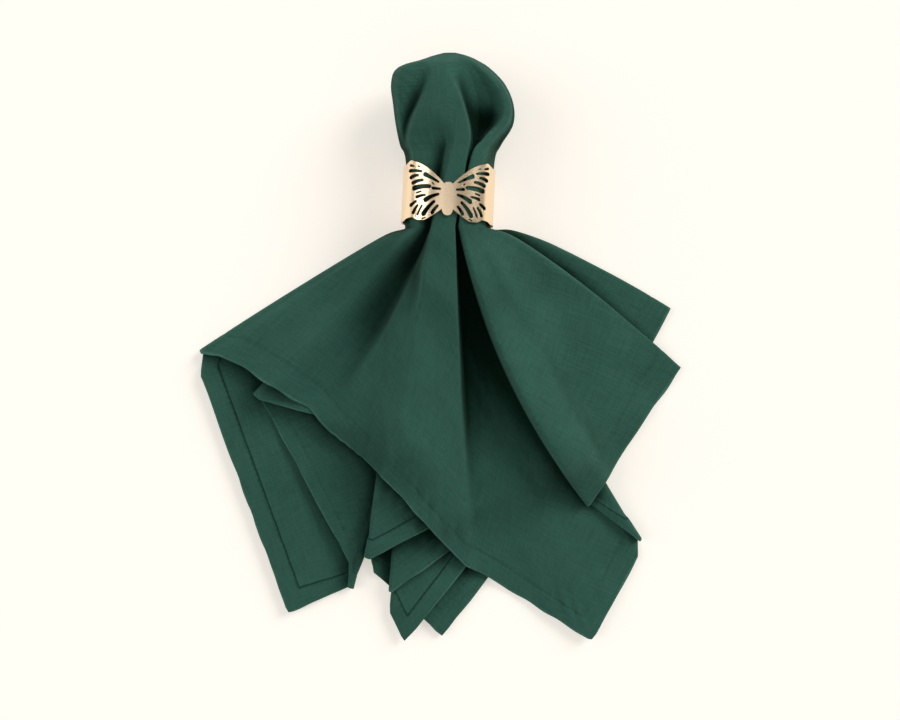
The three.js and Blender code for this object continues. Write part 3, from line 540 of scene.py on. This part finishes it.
# Soft creases, each on one layer: a curve seen from above, its height at its start, middle and end
# (below 0 is a trough), and its half width at its start and end
creaseColumns = ("layer", "start", "bend", "end", "height", "width")
creaseRows = (
    (3, (-20, 52), (-55, 30), (-100, 2), (0, 1.2, 0.6), (6, 14)),
    (3, (-14, 50), (-35, 15), (-62, -22), (0, -1.5, -1), (5, 10)),
    (1, (32, 54), (50, 34), (66, -10), (0, -3.8, -1.2), (5, 11)),
    (1, (46, 56), (74, 36), (88, -2), (0, 1.4, 0.5), (5, 10)),
)
creases = [dict(zip(creaseColumns, row)) for row in creaseRows]


def creaseHeight(layer, x, y):  # sum over the creases of height x a bell curve of the distance to the line
    total = np.zeros_like(x)
    along = np.linspace(0, 1, 25)
    for crease in creases:
        if crease["layer"] != layer:
            continue
        px, py = (bezier(crease["start"][i], crease["bend"][i], crease["end"][i], along) for i in (0, 1))
        apart = np.hypot(x[..., None] - px, y[..., None] - py)
        nearest = np.argmin(apart, -1)
        distance = np.take_along_axis(apart, nearest[..., None], -1)[..., 0]
        t = along[nearest]
        height = np.interp(t, (0, 0.5, 1), crease["height"])
        width = mix(crease["width"][0], crease["width"][1], t)
        total += height * np.exp(-(distance / width) ** 2)
    return total


crispKeys = ("underPleat", "pleatLeft", "pleatRight")     # the cloth bends sharply along these


def acrossKeys(a, b, t):  # share from one key to the next: level at a soft key, evenly sloped at a crisp one
    startSlope, endSlope = float(a["name"] in crispKeys), float(b["name"] in crispKeys)
    return ease(t) + startSlope * (t ** 3 - 2 * t ** 2 + t) + endSlope * (t ** 3 - t ** 2)


def liftOf(key, layer, v, fromNeck):  # a key's lift at shares v of its way, on a fold's upper layer only
    upper = key["side"] == 0 or layer == min(key["before"], key["after"])
    values = np.array((0, *key["lift"]), float) if upper else np.zeros(5)
    stations = np.clip(v * 4, 0, 3.9999)
    low = stations.astype(int)
    smooth = mix(values[low], values[low + 1], ease(stations - low))
    return smooth + fromNeck * (1 - ease(v / 0.5))


def planOf(a, b, along, start, v):  # the way of a place between two keys, seen from above
    bend, end = mix(a["bend"], b["bend"], along), mix(a["end"], b["end"], along)
    return bezier(start[0], bend[0], end[0], v), bezier(start[1], bend[1], end[1], v)


def layerRay(fields, layer, a, b, along, start, v):  # points from the ring to the hem on one layer
    x, y = planOf(a, b, along, start, v)
    settled = gridAt(fields[layer], x, y)
    fromNeck = start[2] - gridAt(fields[layer], np.array(start[0]), np.array(start[1]))
    lift = mix(liftOf(a, layer, v, fromNeck), liftOf(b, layer, v, fromNeck), acrossKeys(a, b, along))
    crease = creaseHeight(layer, x, y) * ease(v / 0.15)
    return np.stack([x, y, settled + lift + crease], -1)


def raiseFloor(floor, fields, layer):  # raises the floor for the layers above wherever this layer lies
    raised = floor.copy()
    fine = np.linspace(0, 1, 141)
    used = np.flatnonzero((columnPlace == layer) & (columnTurn != 0))
    for index in used:
        following = (index + 1) % columnTotal
        if folding[index] and columnTurn[index] < 1:
            continue
        a, b = keys[columnKey[index]], keys[columnNext[index]]
        last = columnAlong[following] if columnKey[following] == columnKey[index] else 1
        for part in (0, 0.34, 0.67):
            along = mix(columnAlong[index], last, part)
            start = mix(neckPoints[index], neckPoints[following], part)
            ray = layerRay(fields, layer, a, b, along, start, fine)
            i = ((ray[:, 0] - gridLow[0]) / gridStep).astype(int)
            j = ((ray[:, 1] - gridLow[1]) / gridStep).astype(int)
            for dj, di in ((0, 0), (0, 1), (1, 0), (1, 1)):
                height = np.maximum(ray[:, 2], fields[layer][j + dj, i + di]) + cloth["gap"]
                np.maximum.at(raised, (j + dj, i + di), height)
    return raised


def layDown():  # lays the layers on the table one by one, from the lowest
    floor = np.full(gridShape, cloth["hemThickness"] / 2)
    fields = {}
    for layer in range(layerTotal, 0, -1):
        fields[layer] = smoothOver(np.maximum(floor, fallFromNeck(frontFall.get(layer, levelOf(layer)))))
        floor = raiseFloor(floor, fields, layer)
    return fields


def skirt(v):
    # All columns below the ring at shares v of their way: layers lie as layDown leaves them, and a fold is
    # half an ellipse between the two layers it joins, standing out square to the crease
    fields = layDown()
    points = np.zeros((len(v), columnTotal, 3))
    for index in range(columnTotal):
        a, b = keys[columnKey[index]], keys[columnNext[index]]
        if not folding[index]:
            points[:, index] = layerRay(fields, columnPlace[index], a, b, columnAlong[index],
                                        neckPoints[index], v)
            continue
        first = index - round(columnTurn[index] * cloth["foldSteps"])
        upper = layerRay(fields, a["before"], a, a, 0, neckPoints[first], v)
        lower = layerRay(fields, a["after"], a, a, 0, neckPoints[first + cloth["foldSteps"]], v)
        half = (upper[:, 2] - lower[:, 2]) / 2
        toBend, toEnd = (a["bend"] - a["start"])[:, None], (a["end"] - a["bend"])[:, None]
        slopeX, slopeY = 2 * (1 - v) * toBend + 2 * v * toEnd
        length = np.hypot(slopeX, slopeY)
        settled = ease(v / 0.3)
        outX, outY = mix(1, -slopeY / length, settled), mix(0, slopeX / length, settled)
        reach = a["side"] * np.minimum(np.abs(half), a["bulge"]) * np.sin(np.pi * columnTurn[index])
        reach = reach / np.hypot(outX, outY)
        points[:, index, 0] = upper[:, 0] + outX * reach
        points[:, index, 1] = upper[:, 1] + outY * reach
        points[:, index, 2] = (upper[:, 2] + lower[:, 2]) / 2 + half * np.cos(np.pi * columnTurn[index])
    return points


def tableAt(position):  # the table of sections between its rows: a Catmull-Rom curve through every value
    low = int(min(position, len(sectionTable) - 1.001))
    t = position - low
    p0, p1, p2, p3 = (sectionTable[min(max(low + k, 0), len(sectionTable) - 1)] for k in (-1, 0, 1, 2))
    return readSection(0.5 * (2 * p1 + (p2 - p0) * t + (2 * p0 - 5 * p1 + 4 * p2 - p3) * t ** 2
                              + (3 * p1 - p0 - 3 * p2 + p3) * t ** 3))


def upperRows():  # rows of the puff and of the cloth inside the ring, evenly spaced down their outline
    outline = sectionTable[:, [sectionColumns.index("y"), sectionColumns.index("half")]]
    walked = np.concatenate([[0], np.cumsum(np.linalg.norm(np.diff(outline, axis=0), axis=1))])
    ringTop = walked[-2]
    wanted = np.concatenate([np.linspace(0, ringTop, cloth["puffRows"], endpoint=False),
                             np.linspace(ringTop, walked[-1], cloth["ringRows"], endpoint=False)])
    positions = np.interp(wanted, walked, np.arange(len(sectionTable)))
    rows = np.array([sectionPoints(tableAt(position)) for position in positions])
    puffFrom, fadeOver = 92, 16
    softness = 0.5 * ease((rows[:, :1, 1:2] - puffFrom) / fadeOver)     # rounds the creases of the puff only
    for _ in range(3):
        rows += softness * ((np.roll(rows, 1, 1) + np.roll(rows, -1, 1)) / 2 - rows)
    return rows


# The flat cloth: each column's place along the hem, and its share of the way out from the square's middle
hemOfKey = np.array([key["hem"] for key in keys], float)
foldAllowance = 2.2         # hem taken up by half of a fold's round
sideOfKey = np.array([key["side"] for key in keys])
hemFrom = hemOfKey[columnKey] + foldAllowance * (sideOfKey[columnKey] != 0)
hemTo = hemOfKey[columnNext] + 4 * cloth["side"] * (columnNext < columnKey)
hemTo = hemTo - foldAllowance * (sideOfKey[columnNext] != 0)
hemPlace = mix(hemFrom, hemTo, columnAlong)
hemPlace = np.where(folding, hemOfKey[columnKey] + foldAllowance * (2 * columnTurn - 1), hemPlace)


def onSquare(walk):  # point of the flat square's edge, from its middle, after a walk from one corner
    side = cloth["side"]
    edge, along = np.divmod(walk % (4 * side), side)
    along = along - side / 2
    far = np.full_like(along, side / 2)
    x = np.choose(edge.astype(int), (along, far, -along, -far))
    y = np.choose(edge.astype(int), (-far, along, far, -along))
    return np.stack([x, y], -1)


flatHem = onSquare(hemPlace)
gathered = 95               # how much of the cloth, from its middle, is puff and ring
neckShare = gathered / np.linalg.norm(flatHem, axis=1)


def skirtShares():
    # Each row's share of the way below the ring, one value a column: even rows down to the hem, then the
    # hem's own, drawn in to blunt the corners and to leave the edge slightly uneven
    toEdge = cloth["side"] / 2 * (1 - neckShare)
    lastPlain = 1 - (cloth["hemWidth"] + 1.6) / toEdge
    plain = np.linspace(0, 1, cloth["skirtRows"])[:, None] ** 1.2 * lastPlain
    fromCorner = np.abs((hemPlace + 10) % cloth["side"] - 10)
    blunted = 0.7 * np.clip(1 - fromCorner / 2.5, 0, 1)
    uneven = 0.3 * (1 + np.sin(hemPlace / 4.7 + 1.8 * np.sin(hemPlace / 15)))
    inwards = np.array(turnedUp)[:, None]
    drawnIn = (blunted + uneven) * (1 - inwards / turnedUp[0])
    return np.concatenate([plain, 1 - (inwards + drawnIn) / toEdge])


def skirtRowsAt(shares):
    # Whole skirt at the shares: worked out at even shares for every column, then read between them
    even = np.linspace(0, 1, 161)
    dense = skirt(even)
    place = np.clip(shares * (len(even) - 1), 0, len(even) - 1.0001)
    low = place.astype(int)
    column = np.arange(columnTotal)[None, :]
    return mix(dense[low, column], dense[low + 1, column], (place - low)[..., None])


def normalsOf(points):  # cross product of the steps along the rows and along the columns
    around = np.roll(points, -1, 1) - np.roll(points, 1, 1)
    down = np.gradient(points, axis=0)
    normal = np.cross(down, around)
    return normal / np.maximum(np.linalg.norm(normal, axis=-1, keepdims=True), 1e-9)


print("napkin: laying", columnTotal, "columns")
shares = skirtShares()
napkinRows = np.concatenate([upperRows(), skirtRowsAt(shares)])
upperCount = cloth["puffRows"] + cloth["ringRows"]
upperShare = np.linspace(0.012, 1, upperCount, endpoint=False)[:, None] * neckShare[None, :]
flatShare = np.concatenate([upperShare, neckShare + (1 - neckShare) * shares])
fromEdge = cloth["side"] / 2 * (1 - flatShare)
flatPlace = flatHem[None] * flatShare[..., None]

# Puckers along the stitched hem, a groove at the stitch line, gathers where the front hem is drawn in, and
# slow unevenness all over
pucker = {"height": 0.6, "length": 11.5, "reach": 7, "groove": 0.15, "grooveWidth": 0.7, "stitchLine": 8.7}
gathers = {"height": 0.8, "length": 6.2, "place": 240, "spread": 15, "reach": 8}
slow = {"height": 0.5, "length": 64}


def relief():
    # Waves along the hem whose length drifts, fading away from the stitch line by a bell curve, and the groove
    walk = hemPlace[None, :]
    wave = np.sin(2 * np.pi * walk / pucker["length"] + 2.1 * np.sin(walk / 9.3) + 1.4 * np.sin(walk / 17.7))
    strength = 0.55 + 0.45 * np.sin(walk / 31 + 1.7 * np.sin(walk / 57))
    offset = fromEdge - pucker["stitchLine"]
    puckers = pucker["height"] * strength * wave * np.exp(-(offset / pucker["reach"]) ** 2)
    drawnIn = gathers["height"] * np.exp(-((walk - gathers["place"]) / gathers["spread"]) ** 2)
    wave = np.sin(2 * np.pi * walk / gathers["length"] + 1.2 * np.sin(walk / 3.7))
    puckers = puckers + drawnIn * wave * np.exp(-(fromEdge / gathers["reach"]) ** 2)
    groove = -pucker["groove"] * np.exp(-(offset / pucker["grooveWidth"]) ** 2)
    return puckers, groove


def swell(x, y):  # two crossed waves, each bent by a third, from 0 to 1
    scale = 2 * np.pi / slow["length"]
    across = np.sin(scale * x + 1.3 * np.sin(scale * 0.7 * y))
    along = np.sin(scale * 1.3 * y + 0.9 * np.sin(scale * x) + 2)
    return (across + along) / 4 + 0.5


puckers, groove = relief()
napkinRows = napkinRows + normalsOf(napkinRows) * puckers[..., None]
x, y, z = np.moveaxis(napkinRows, -1, 0)
napkinRows[..., 2] += slow["height"] * swell(x, y) * ease((z - 1) / 8)


def openness(points):
    # Share of the sky each point sees: for eight directions, the steepest rise to the cloth's upper face
    x, y, z = np.moveaxis(points, -1, 0)
    i = ((x - gridLow[0]) / gridStep).astype(int)
    j = ((y - gridLow[1]) / gridStep).astype(int)
    top = np.zeros((gridShape[0] + 36, gridShape[1]))       # reaches over the puff too
    for dj, di in ((0, 0), (0, 1), (1, 0), (1, 1)):
        np.maximum.at(top, (j + dj, i + di), z)
    seen = np.zeros_like(z)
    for angle in np.arange(8) * np.pi / 4:
        steepest = np.zeros_like(z)
        for reach in (3.5, 7, 12, 19, 28):
            rise = gridAt(top, x + reach * np.cos(angle), y + reach * np.sin(angle)) - z - 1.2
            steepest = np.maximum(steepest, rise / reach)
        seen += 1 / (1 + steepest ** 2) / 8
    return seen


def makeNapkin(material):
    # Two skins half a thickness to either side, closed at the puff's top and round the hem's rim. The hem is
    # turned to the back of the cloth, so only the back skin steps out there
    inHem = ease((cloth["hemWidth"] + 0.5 - fromEdge) / 0.9)
    rim = np.clip(1 - fromEdge / 0.62, 0, 1)
    rounding = np.sqrt(np.maximum(0.06, 1 - rim ** 2))
    middle = cloth["thickness"] / 2
    outwards = {-1: mix(middle, cloth["hemThickness"] - middle, inHem), 1: middle}
    normals = normalsOf(napkinRows)
    skins, tops = [], []
    for side in (-1, 1):
        skin = napkinRows + side * normals * ((outwards[side] + groove) * rounding)[..., None]
        skin[..., 2] = np.maximum(skin[..., 2], overTable)
        skins.append(skin)
        tops.append(puffTop - (0, side * middle, 0))
    points = np.concatenate([skins[0].reshape(-1, 3), skins[1].reshape(-1, 3), tops]) + shift
    rows = len(napkinRows)
    perSkin = rows * columnTotal
    column = np.arange(columnTotal)
    following = (column + 1) % columnTotal
    hem = (rows - 1) * columnTotal
    grid = gridFaces(rows, columnTotal, True)
    rimFaces = np.stack([hem + column, hem + following, perSkin + hem + following, perSkin + hem + column], -1)
    quads = np.concatenate([grid, grid[:, ::-1] + perSkin, rimFaces])
    caps = np.concatenate([np.stack([0 * column + 2 * perSkin, following, column], -1),
                           np.stack([0 * column + 2 * perSkin + 1, perSkin + column, perSkin + following], -1)])
    obj = makeObject("napkin_cloth", points, quads.tolist() + caps.tolist(), material)
    mesh = obj.data
    flat = np.concatenate([flatPlace.reshape(-1, 2), flatPlace.reshape(-1, 2), np.zeros((2, 2))]) * mm
    loops = np.zeros(len(mesh.loops), int)
    mesh.loops.foreach_get("vertex_index", loops)
    mesh.uv_layers.new(name="cloth").data.foreach_set("uv", flat[loops].ravel())
    # This attribute: red is 1 on the back of the cloth, blue is how open to the sky a place is, from which the
    # material paints shade into the deep folds
    skyShare = openness(napkinRows).reshape(-1)
    backAndFoldShade = [np.stack(np.broadcast_arrays(back, 0.0, skyShare, 1.0), -1) for back in (1.0, 0.0)]
    backAndFoldShade = np.concatenate([*backAndFoldShade, np.ones((2, 4))])
    mesh.attributes.new("backAndFoldShade", "FLOAT_COLOR", "POINT").data.foreach_set("color", backAndFoldShade.ravel())
    print("napkin:", len(points), "points", len(quads) * 2 + len(caps), "triangles")
    return obj, skins


# Ring
def ringPlace(points):  # from the ring's own frame to the object's: turned, moved, its lowest flat on the table
    c, s = math.cos(ring["turn"]), math.sin(ring["turn"])
    x, y, z = np.moveaxis(points, -1, 0)
    turned = np.stack([c * x - s * y, s * x + c * y, z + ring["height"] / 2], -1)
    return turned + (*ring["centre"], 0) + shift


def ringTop(x, inset):  # height of the front wall's face at a place across it, inset from the outer face
    side = np.minimum(0.999, np.abs(x) / (ring["width"] / 2 - inset))
    return (ring["height"] / 2 - inset) * (1 - side ** ring["fullness"]) ** (1 / ring["fullness"])


def bandPoints(steps):
    # A closed profile of the wall, with quarter-round edges, carried round the rounded rectangle
    half, edge, sheet = ring["length"] / 2, ring["edge"], ring["sheet"]
    corners = ((half - edge, edge, 0), (half - edge, sheet - edge, 1), (edge - half, sheet - edge, 2),
               (edge - half, edge, 3))
    profile = []
    for alongY, inset, turn in corners:
        angle = np.linspace(0, np.pi / 2, 4) - np.pi / 2 + turn * np.pi / 2
        profile.append(np.stack([alongY + edge * np.cos(angle), inset + edge * np.sin(angle)], -1))
    profile = np.concatenate(profile)
    angle = 2 * np.pi * (np.arange(steps) + 0.5) / steps
    inset = profile[:, 1][None, :]
    outX, outZ = superellipse(angle[:, None], ring["fullness"])
    x = outX * (ring["width"] / 2 - inset)
    z = outZ * (ring["height"] / 2 - inset)
    return np.stack([x, np.broadcast_to(profile[:, 0], x.shape), z], -1)


# The butterfly's outlines, from the middle of the ring's front: after the first point come pairs of a bend
# and the point that the curve runs to. Then the cells of its right wing: middle, length between the round
# ends' centres, turn, half widths near the body and far from it, and bow. All are mirrored to the left
butterfly = {
    "side": 23.5, "beyond": 2, "curveSteps": 13,
    "upper": ((20.4, 12.6), (19.6, 13.2), (19, 13.7), (18, 14.6), (16.6, 13.6), (10.2, 11.9), (2, 3.1),
              (1.3, 3.95), (0, 3.95)),
    "lower": ((20.3, -14.25), (19.6, -12.9), (16.3, -12.9), (12.6, -16.1), (8, -12.7), (5.2, -11),
              (2.7, -8.9), (2.1, -11.8), (0, -11.8)),
}
cellColumns = ("x", "y", "length", "turn", "near", "far", "bow")
cellRows = (
    (17.4, 11.5, 1.5, 0.32, 0.4, 0.6, 0),
    (14.3, 11, 0.7, 0.4, 0.25, 0.3, 0),
    (15.6, 8.9, 5.2, 0.12, 0.5, 0.85, 0.1),
    (16.2, 6.4, 3, -0.25, 0.6, 0.9, 0.25),
    (14.5, 3.95, 4.4, -0.25, 0.65, 0.9, 0.25),
    (12.4, 1.2, 7.2, -0.1, 0.9, 1.2, 0.3),
    (7.9, 5.4, 7.2, 0.5, 0.45, 1.05, 0.1),
    (7.2, 2.9, 1.1, 0.78, 0.22, 0.3, 0),
    (5.6, 0.6, 3.3, 0.09, 0.5, 0.7, 0),
    (13.8, -1.1, 2, -0.27, 0.33, 0.42, 0),
    (12.7, -2.9, 3.8, -0.22, 0.45, 0.75, 0.1),
    (7.5, -3.4, 6.4, -0.44, 0.6, 1.1, 0.35),
    (16.2, -6.3, 2.5, -0.7, 0.6, 0.85, 0.15),
    (8.8, -8.4, 7.5, -0.9, 0.65, 1.1, 0.3),
    (5.9, -9.1, 3.9, -0.95, 0.6, 0.85, 0.15),
    (13, -9.5, 4.5, -1.13, 0.35, 0.5, 0.1),
    (15.1, -9, 3.8, -1.07, 0.5, 0.8, 0.15),
    (10.9, -13.3, 1.6, -0.33, 0.26, 0.36, 0),
)
cells = [dict(zip(cellColumns, row)) for row in cellRows]


def cellOutline(cell, hand):
    # A slot round a bowed middle line: half width grows evenly along it, half circles at both ends
    t = np.linspace(0, 1, 9)
    along = (t - 0.5) * cell["length"]
    middle = np.stack([along, cell["bow"] * (1 - (2 * t - 1) ** 2)], -1)
    width = mix(cell["near"], cell["far"], t)
    right, left = middle - np.stack([0 * t, width], -1), middle + np.stack([0 * t, width], -1)
    arc = np.linspace(-np.pi / 2, np.pi / 2, 8)[1:-1]
    farEnd = middle[-1] + cell["far"] * np.stack([np.cos(arc), np.sin(arc)], -1)
    nearEnd = middle[0] - cell["near"] * np.stack([np.cos(arc), np.sin(arc)], -1)
    outline = np.concatenate([right, farEnd, left[::-1], nearEnd])
    c, s = math.cos(cell["turn"]), math.sin(cell["turn"])
    turned = np.stack([c * outline[:, 0] - s * outline[:, 1] + cell["x"],
                       s * outline[:, 0] + c * outline[:, 1] + cell["y"]], -1)
    return turned if hand > 0 else (turned * (-1, 1))[::-1]


def curveThrough(stops):  # quadratic curves end to end
    stops = np.array(stops, float)
    t = np.linspace(0, 1, butterfly["curveSteps"])[1:, None]
    curves = [bezier(*stops[index:index + 3], t) for index in range(0, len(stops) - 2, 2)]
    return np.concatenate([stops[:1], *curves])


def mirrored(corners, stops):  # corners and a curve on the right, then the same on the left, in reverse
    right = np.concatenate([corners, curveThrough(stops)])
    return np.concatenate([right, (right[:-1] * (-1, 1))[::-1]])


def notchOutlines():  # what is cut away above and below the butterfly
    side, edge = butterfly["side"], ring["length"] / 2 + butterfly["beyond"]
    upper = mirrored([(side, edge), (side, butterfly["upper"][0][1])], butterfly["upper"])
    lower = mirrored([(butterfly["lower"][0][0], -edge)], butterfly["lower"])
    return [fillEdges(outline) for outline in (upper[::-1], lower)]


def fillEdges(outline):  # adds points so that no edge of an outline is longer than a millimetre
    closed = np.concatenate([outline, outline[:1]])
    walked = np.concatenate([[0], np.cumsum(np.linalg.norm(np.diff(closed, axis=0), axis=1))])
    extra = [np.linspace(a, b, max(2, math.ceil(b - a) + 1))[:-1] for a, b in zip(walked[:-1], walked[1:])]
    wanted = np.concatenate(extra)
    return np.stack([np.interp(wanted, walked, closed[:, i]) for i in (0, 1)], -1)


def cutterPoints(outline):
    # A prism whose outline widens by a chamfer where it meets the curved outer and inner faces of the wall
    chamfer = ring["edge"] * 0.75
    steps = np.roll(outline, -1, 0) - np.roll(outline, 1, 0)
    out = np.stack([steps[:, 1], -steps[:, 0]], -1)
    out = out / np.maximum(np.linalg.norm(out, axis=1, keepdims=True), 1e-6)
    wide = outline + out * chamfer
    outer, inner = ringTop(wide[:, 0], 0), ringTop(wide[:, 0], ring["sheet"])
    above, below = ring["height"] / 2 + 1, inner.min() - 1.5
    levels = ((wide, above), (wide, outer), (outline, ringTop(outline[:, 0], chamfer)),
              (outline, ringTop(outline[:, 0], ring["sheet"] - chamfer)), (wide, inner), (wide, below))
    return np.array([np.column_stack([shape, np.broadcast_to(level, len(shape))]) for shape, level in levels])


def slabPoints():  # takes the same strip off the sides and the back as off the front beside the wings
    low, high, wide = butterfly["upper"][0][1], ring["length"] / 2 + butterfly["beyond"], ring["width"]
    corners = ((-wide, low), (wide, low), (wide, high), (-wide, high))
    levels = (ring["height"] / 4, -ring["height"])
    return np.array([[(*corner, level) for corner in corners] for level in levels], float)


def makeCutters():
    outlines = notchOutlines() + [cellOutline(cell, hand) for cell in cells for hand in (-1, 1)]
    points, faces, total = [], [], 0
    for layers in [cutterPoints(outline) for outline in outlines] + [slabPoints()]:
        count = layers.shape[1]
        faces += (gridFaces(len(layers), count, True)[:, ::-1] + total).tolist()
        faces.append((total + np.arange(count)).tolist())
        faces.append((total + (len(layers) - 1) * count + np.arange(count))[::-1].tolist())
        points.append(layers.reshape(-1, 3))
        total += len(points[-1])
    return makeObject("cutters", ringPlace(np.concatenate(points)), faces)


def makeRing(material):
    points = bandPoints(ring["steps"])
    steps, around = points.shape[:2]
    faces = gridFaces(steps + 1, around, True) % (steps * around)
    obj = makeObject("ring_band", ringPlace(points.reshape(-1, 3)), faces.tolist(), material)
    cutters = makeCutters()
    for one in (obj, cutters):
        recalculate(one)
    cut = obj.modifiers.new("cells", "BOOLEAN")
    cut.object, cut.operation, cut.solver, cut.use_self = cutters, "DIFFERENCE", "EXACT", True
    bake(obj)
    bpy.data.objects.remove(cutters)
    smoothByAngle(obj, 32)
    print("ring:", len(obj.data.polygons), "faces")
    return obj


def recalculate(obj):  # turns every face outwards
    shape = bmesh.new()
    shape.from_mesh(obj.data)
    bmesh.ops.recalc_face_normals(shape, faces=shape.faces)
    shape.to_mesh(obj.data)
    shape.free()


def bake(obj):  # keeps a piece's modifiers as its mesh
    depsgraph = bpy.context.evaluated_depsgraph_get()
    mesh = bpy.data.meshes.new_from_object(obj.evaluated_get(depsgraph))
    obj.modifiers.clear()
    obj.data = mesh


def smoothByAngle(obj, degrees):
    mesh = obj.data
    mesh.polygons.foreach_set("use_smooth", np.ones(len(mesh.polygons), bool))
    mesh.set_sharp_from_angle(angle=math.radians(degrees))


# Stitches: short capsules along the hem's stitch line, on both faces of the cloth
stitch = {
    "pitch": 3.1, "length": 2.3, "radius": 0.17, "sides": 5,
    # Places along a stitch and the radius there, as shares of its length and radius
    "profile": ((-0.5, 0.25), (-0.42, 0.85), (0, 1), (0.42, 0.85), (0.5, 0.25)),
    "lowered": 0.35,                # share of the radius by which it lies towards the back of the cloth
    "between": (1, 3.2),            # lengths outside these are left out, where the cloth turns sharply
}


def makeStitches(skins, material):
    # Each stitch is a capsule from one point of the stitch line to the next, read off the skin's rows
    hemRow = int(np.argmin(np.abs(np.array(turnedUp) - pucker["stitchLine"])))
    row = cloth["puffRows"] + cloth["ringRows"] + cloth["skirtRows"] + hemRow
    walk = 4 * cloth["side"]
    order = np.argsort(hemPlace)
    starts = np.arange(0, walk - stitch["pitch"], stitch["pitch"]) + stitch["pitch"] / 4
    profile = np.array(stitch["profile"])
    sides = np.arange(stitch["sides"]) * 2 * np.pi / stitch["sides"]

    def onHem(values, walked):  # values of the columns, read at distances walked
        read = [np.interp(walked, hemPlace[order], values[order, i], period=walk) for i in range(3)]
        return np.stack(read, -1)

    allPoints = []
    for side, skin in zip((-1, 1), skins):
        normal = side * normalsOf(napkinRows)[row]
        line = skin[row] - side * normal * stitch["radius"] * stitch["lowered"]
        a, b, up = onHem(line, starts), onHem(line, starts + stitch["length"]), onHem(normal, starts)
        run = b - a
        length = np.maximum(np.linalg.norm(run, axis=1, keepdims=True), 1e-6)
        beside = np.cross(run / length, up)
        middle = (a + b) / 2
        along = middle[:, None] + run[:, None] * profile[None, :, :1]
        reach = stitch["radius"] * profile[None, :, None, 1:2]
        points = along[:, :, None] + reach * (np.cos(sides)[None, None, :, None] * beside[:, None, None]
                                              + np.sin(sides)[None, None, :, None] * up[:, None, None])
        shortest, longest = stitch["between"]
        allPoints.append(points[(length[:, 0] > shortest) & (length[:, 0] < longest)])
    points = np.concatenate(allPoints)
    points[..., 2] = np.maximum(points[..., 2], overTable)
    count, levels, around = points.shape[:3]
    one = gridFaces(levels, around, True)
    base = np.arange(count)[:, None] * levels * around
    faces = (one[None] + base[:, None]).reshape(-1, 4).tolist()
    faces += (base + np.arange(around)[::-1]).tolist()
    faces += (base + (levels - 1) * around + np.arange(around)).tolist()
    obj = makeObject("hem_stitching", points.reshape(-1, 3) + shift, faces, material)
    recalculate(obj)
    print("stitches:", count)
    return obj


clothGreen = clothMaterial("bottleGreenCotton", (0.0372, 0.1185, 0.089, 1), (0.0254, 0.087, 0.0645, 1), True)
threadGreen = clothMaterial("greenThread", (0.03, 0.08, 0.06, 1), (0.018, 0.05, 0.038, 1), False)
roseGold = metalMaterial("roseGold", (0.97, 0.76, 0.52, 1), 0.24)

napkinCloth, skins = makeNapkin(clothGreen)
stitching = makeStitches(skins, threadGreen)
ringBand = makeRing(roseGold)

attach(napkinCloth, "root")
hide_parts("napkin")
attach(stitching, "root")
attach(ringBand, "root")
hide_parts("ring")


# Table, light and camera
floorLook = {"size": 3000, "colour": (0.66, 0.63, 0.59, 1), "glow": (0.51, 0.485, 0.445, 1)}


def makeFloor():  # it glows a little, so that the shadows on it stay as light as those of a bright table
    material = newMaterial("paleTable", {
        "Base Color": floorLook["colour"], "Roughness": 0.9, "Specular IOR Level": 0,
        "Emission Color": floorLook["glow"], "Emission Strength": 1,
    })[0]
    size = floorLook["size"]
    corners = np.array(((-size, -size, 0), (size, -size, 0), (size, size, 0), (-size, size, 0)), float)
    makeObject("table_top", corners, [[0, 1, 2, 3]], material)


def addLamp(lamp, place):  # a lamp at a place, facing the napkin
    obj = bpy.data.objects.new(lamp.name, lamp)
    obj.location = place
    obj.rotation_euler = Vector(place).to_track_quat("Z", "Y").to_euler()
    bpy.context.scene.collection.objects.link(obj)


def addSun(name, azimuth, elevation, softness, strength, colour):  # a broad even light from one direction
    lamp = bpy.data.lights.new(name, "SUN")
    lamp.angle, lamp.energy, lamp.color = math.radians(softness), strength * math.pi, colour
    azimuth, elevation = math.radians(azimuth), math.radians(elevation)
    level = math.cos(elevation)
    addLamp(lamp, (level * math.cos(azimuth), level * math.sin(azimuth), math.sin(elevation)))


def addSoftbox(name, place, size, radiance):  # a square panel
    lamp = bpy.data.lights.new(name, "AREA")
    lamp.shape, lamp.size = "SQUARE", size
    lamp.energy = radiance * math.pi * size ** 2
    addLamp(lamp, place)


makeFloor()
addSun("keyLight", 38, 31, 32, 0.64, (1, 0.985, 0.96))
addSun("leftLight", 175, 36, 44, 0.27, (1, 0.99, 0.97))
addSoftbox("topPanel", (-0.12, 0.05, 1.1), 0.42, 0.8)
world = bpy.data.worlds.new("studio")
world.use_nodes = True
background = world.node_tree.nodes["Background"]
background.inputs["Color"].default_value = (1, 0.99, 0.97, 1)
background.inputs["Strength"].default_value = 0.31
bpy.context.scene.world = world
bpy.context.scene.view_settings.view_transform = "Standard"

camera = bpy.data.cameras.new("camera")
camera.lens, camera.sensor_width = 50, 36
camera.clip_start, camera.clip_end = 0.01, 20
cameraPlace = np.array((4, -5.75, 625))     # straight above the napkin, in the maker's frame
cameraObject = bpy.data.objects.new("camera", camera)
cameraObject.location = (cameraPlace + shift) * mm
bpy.context.scene.collection.objects.link(cameraObject)
bpy.context.scene.camera = cameraObject
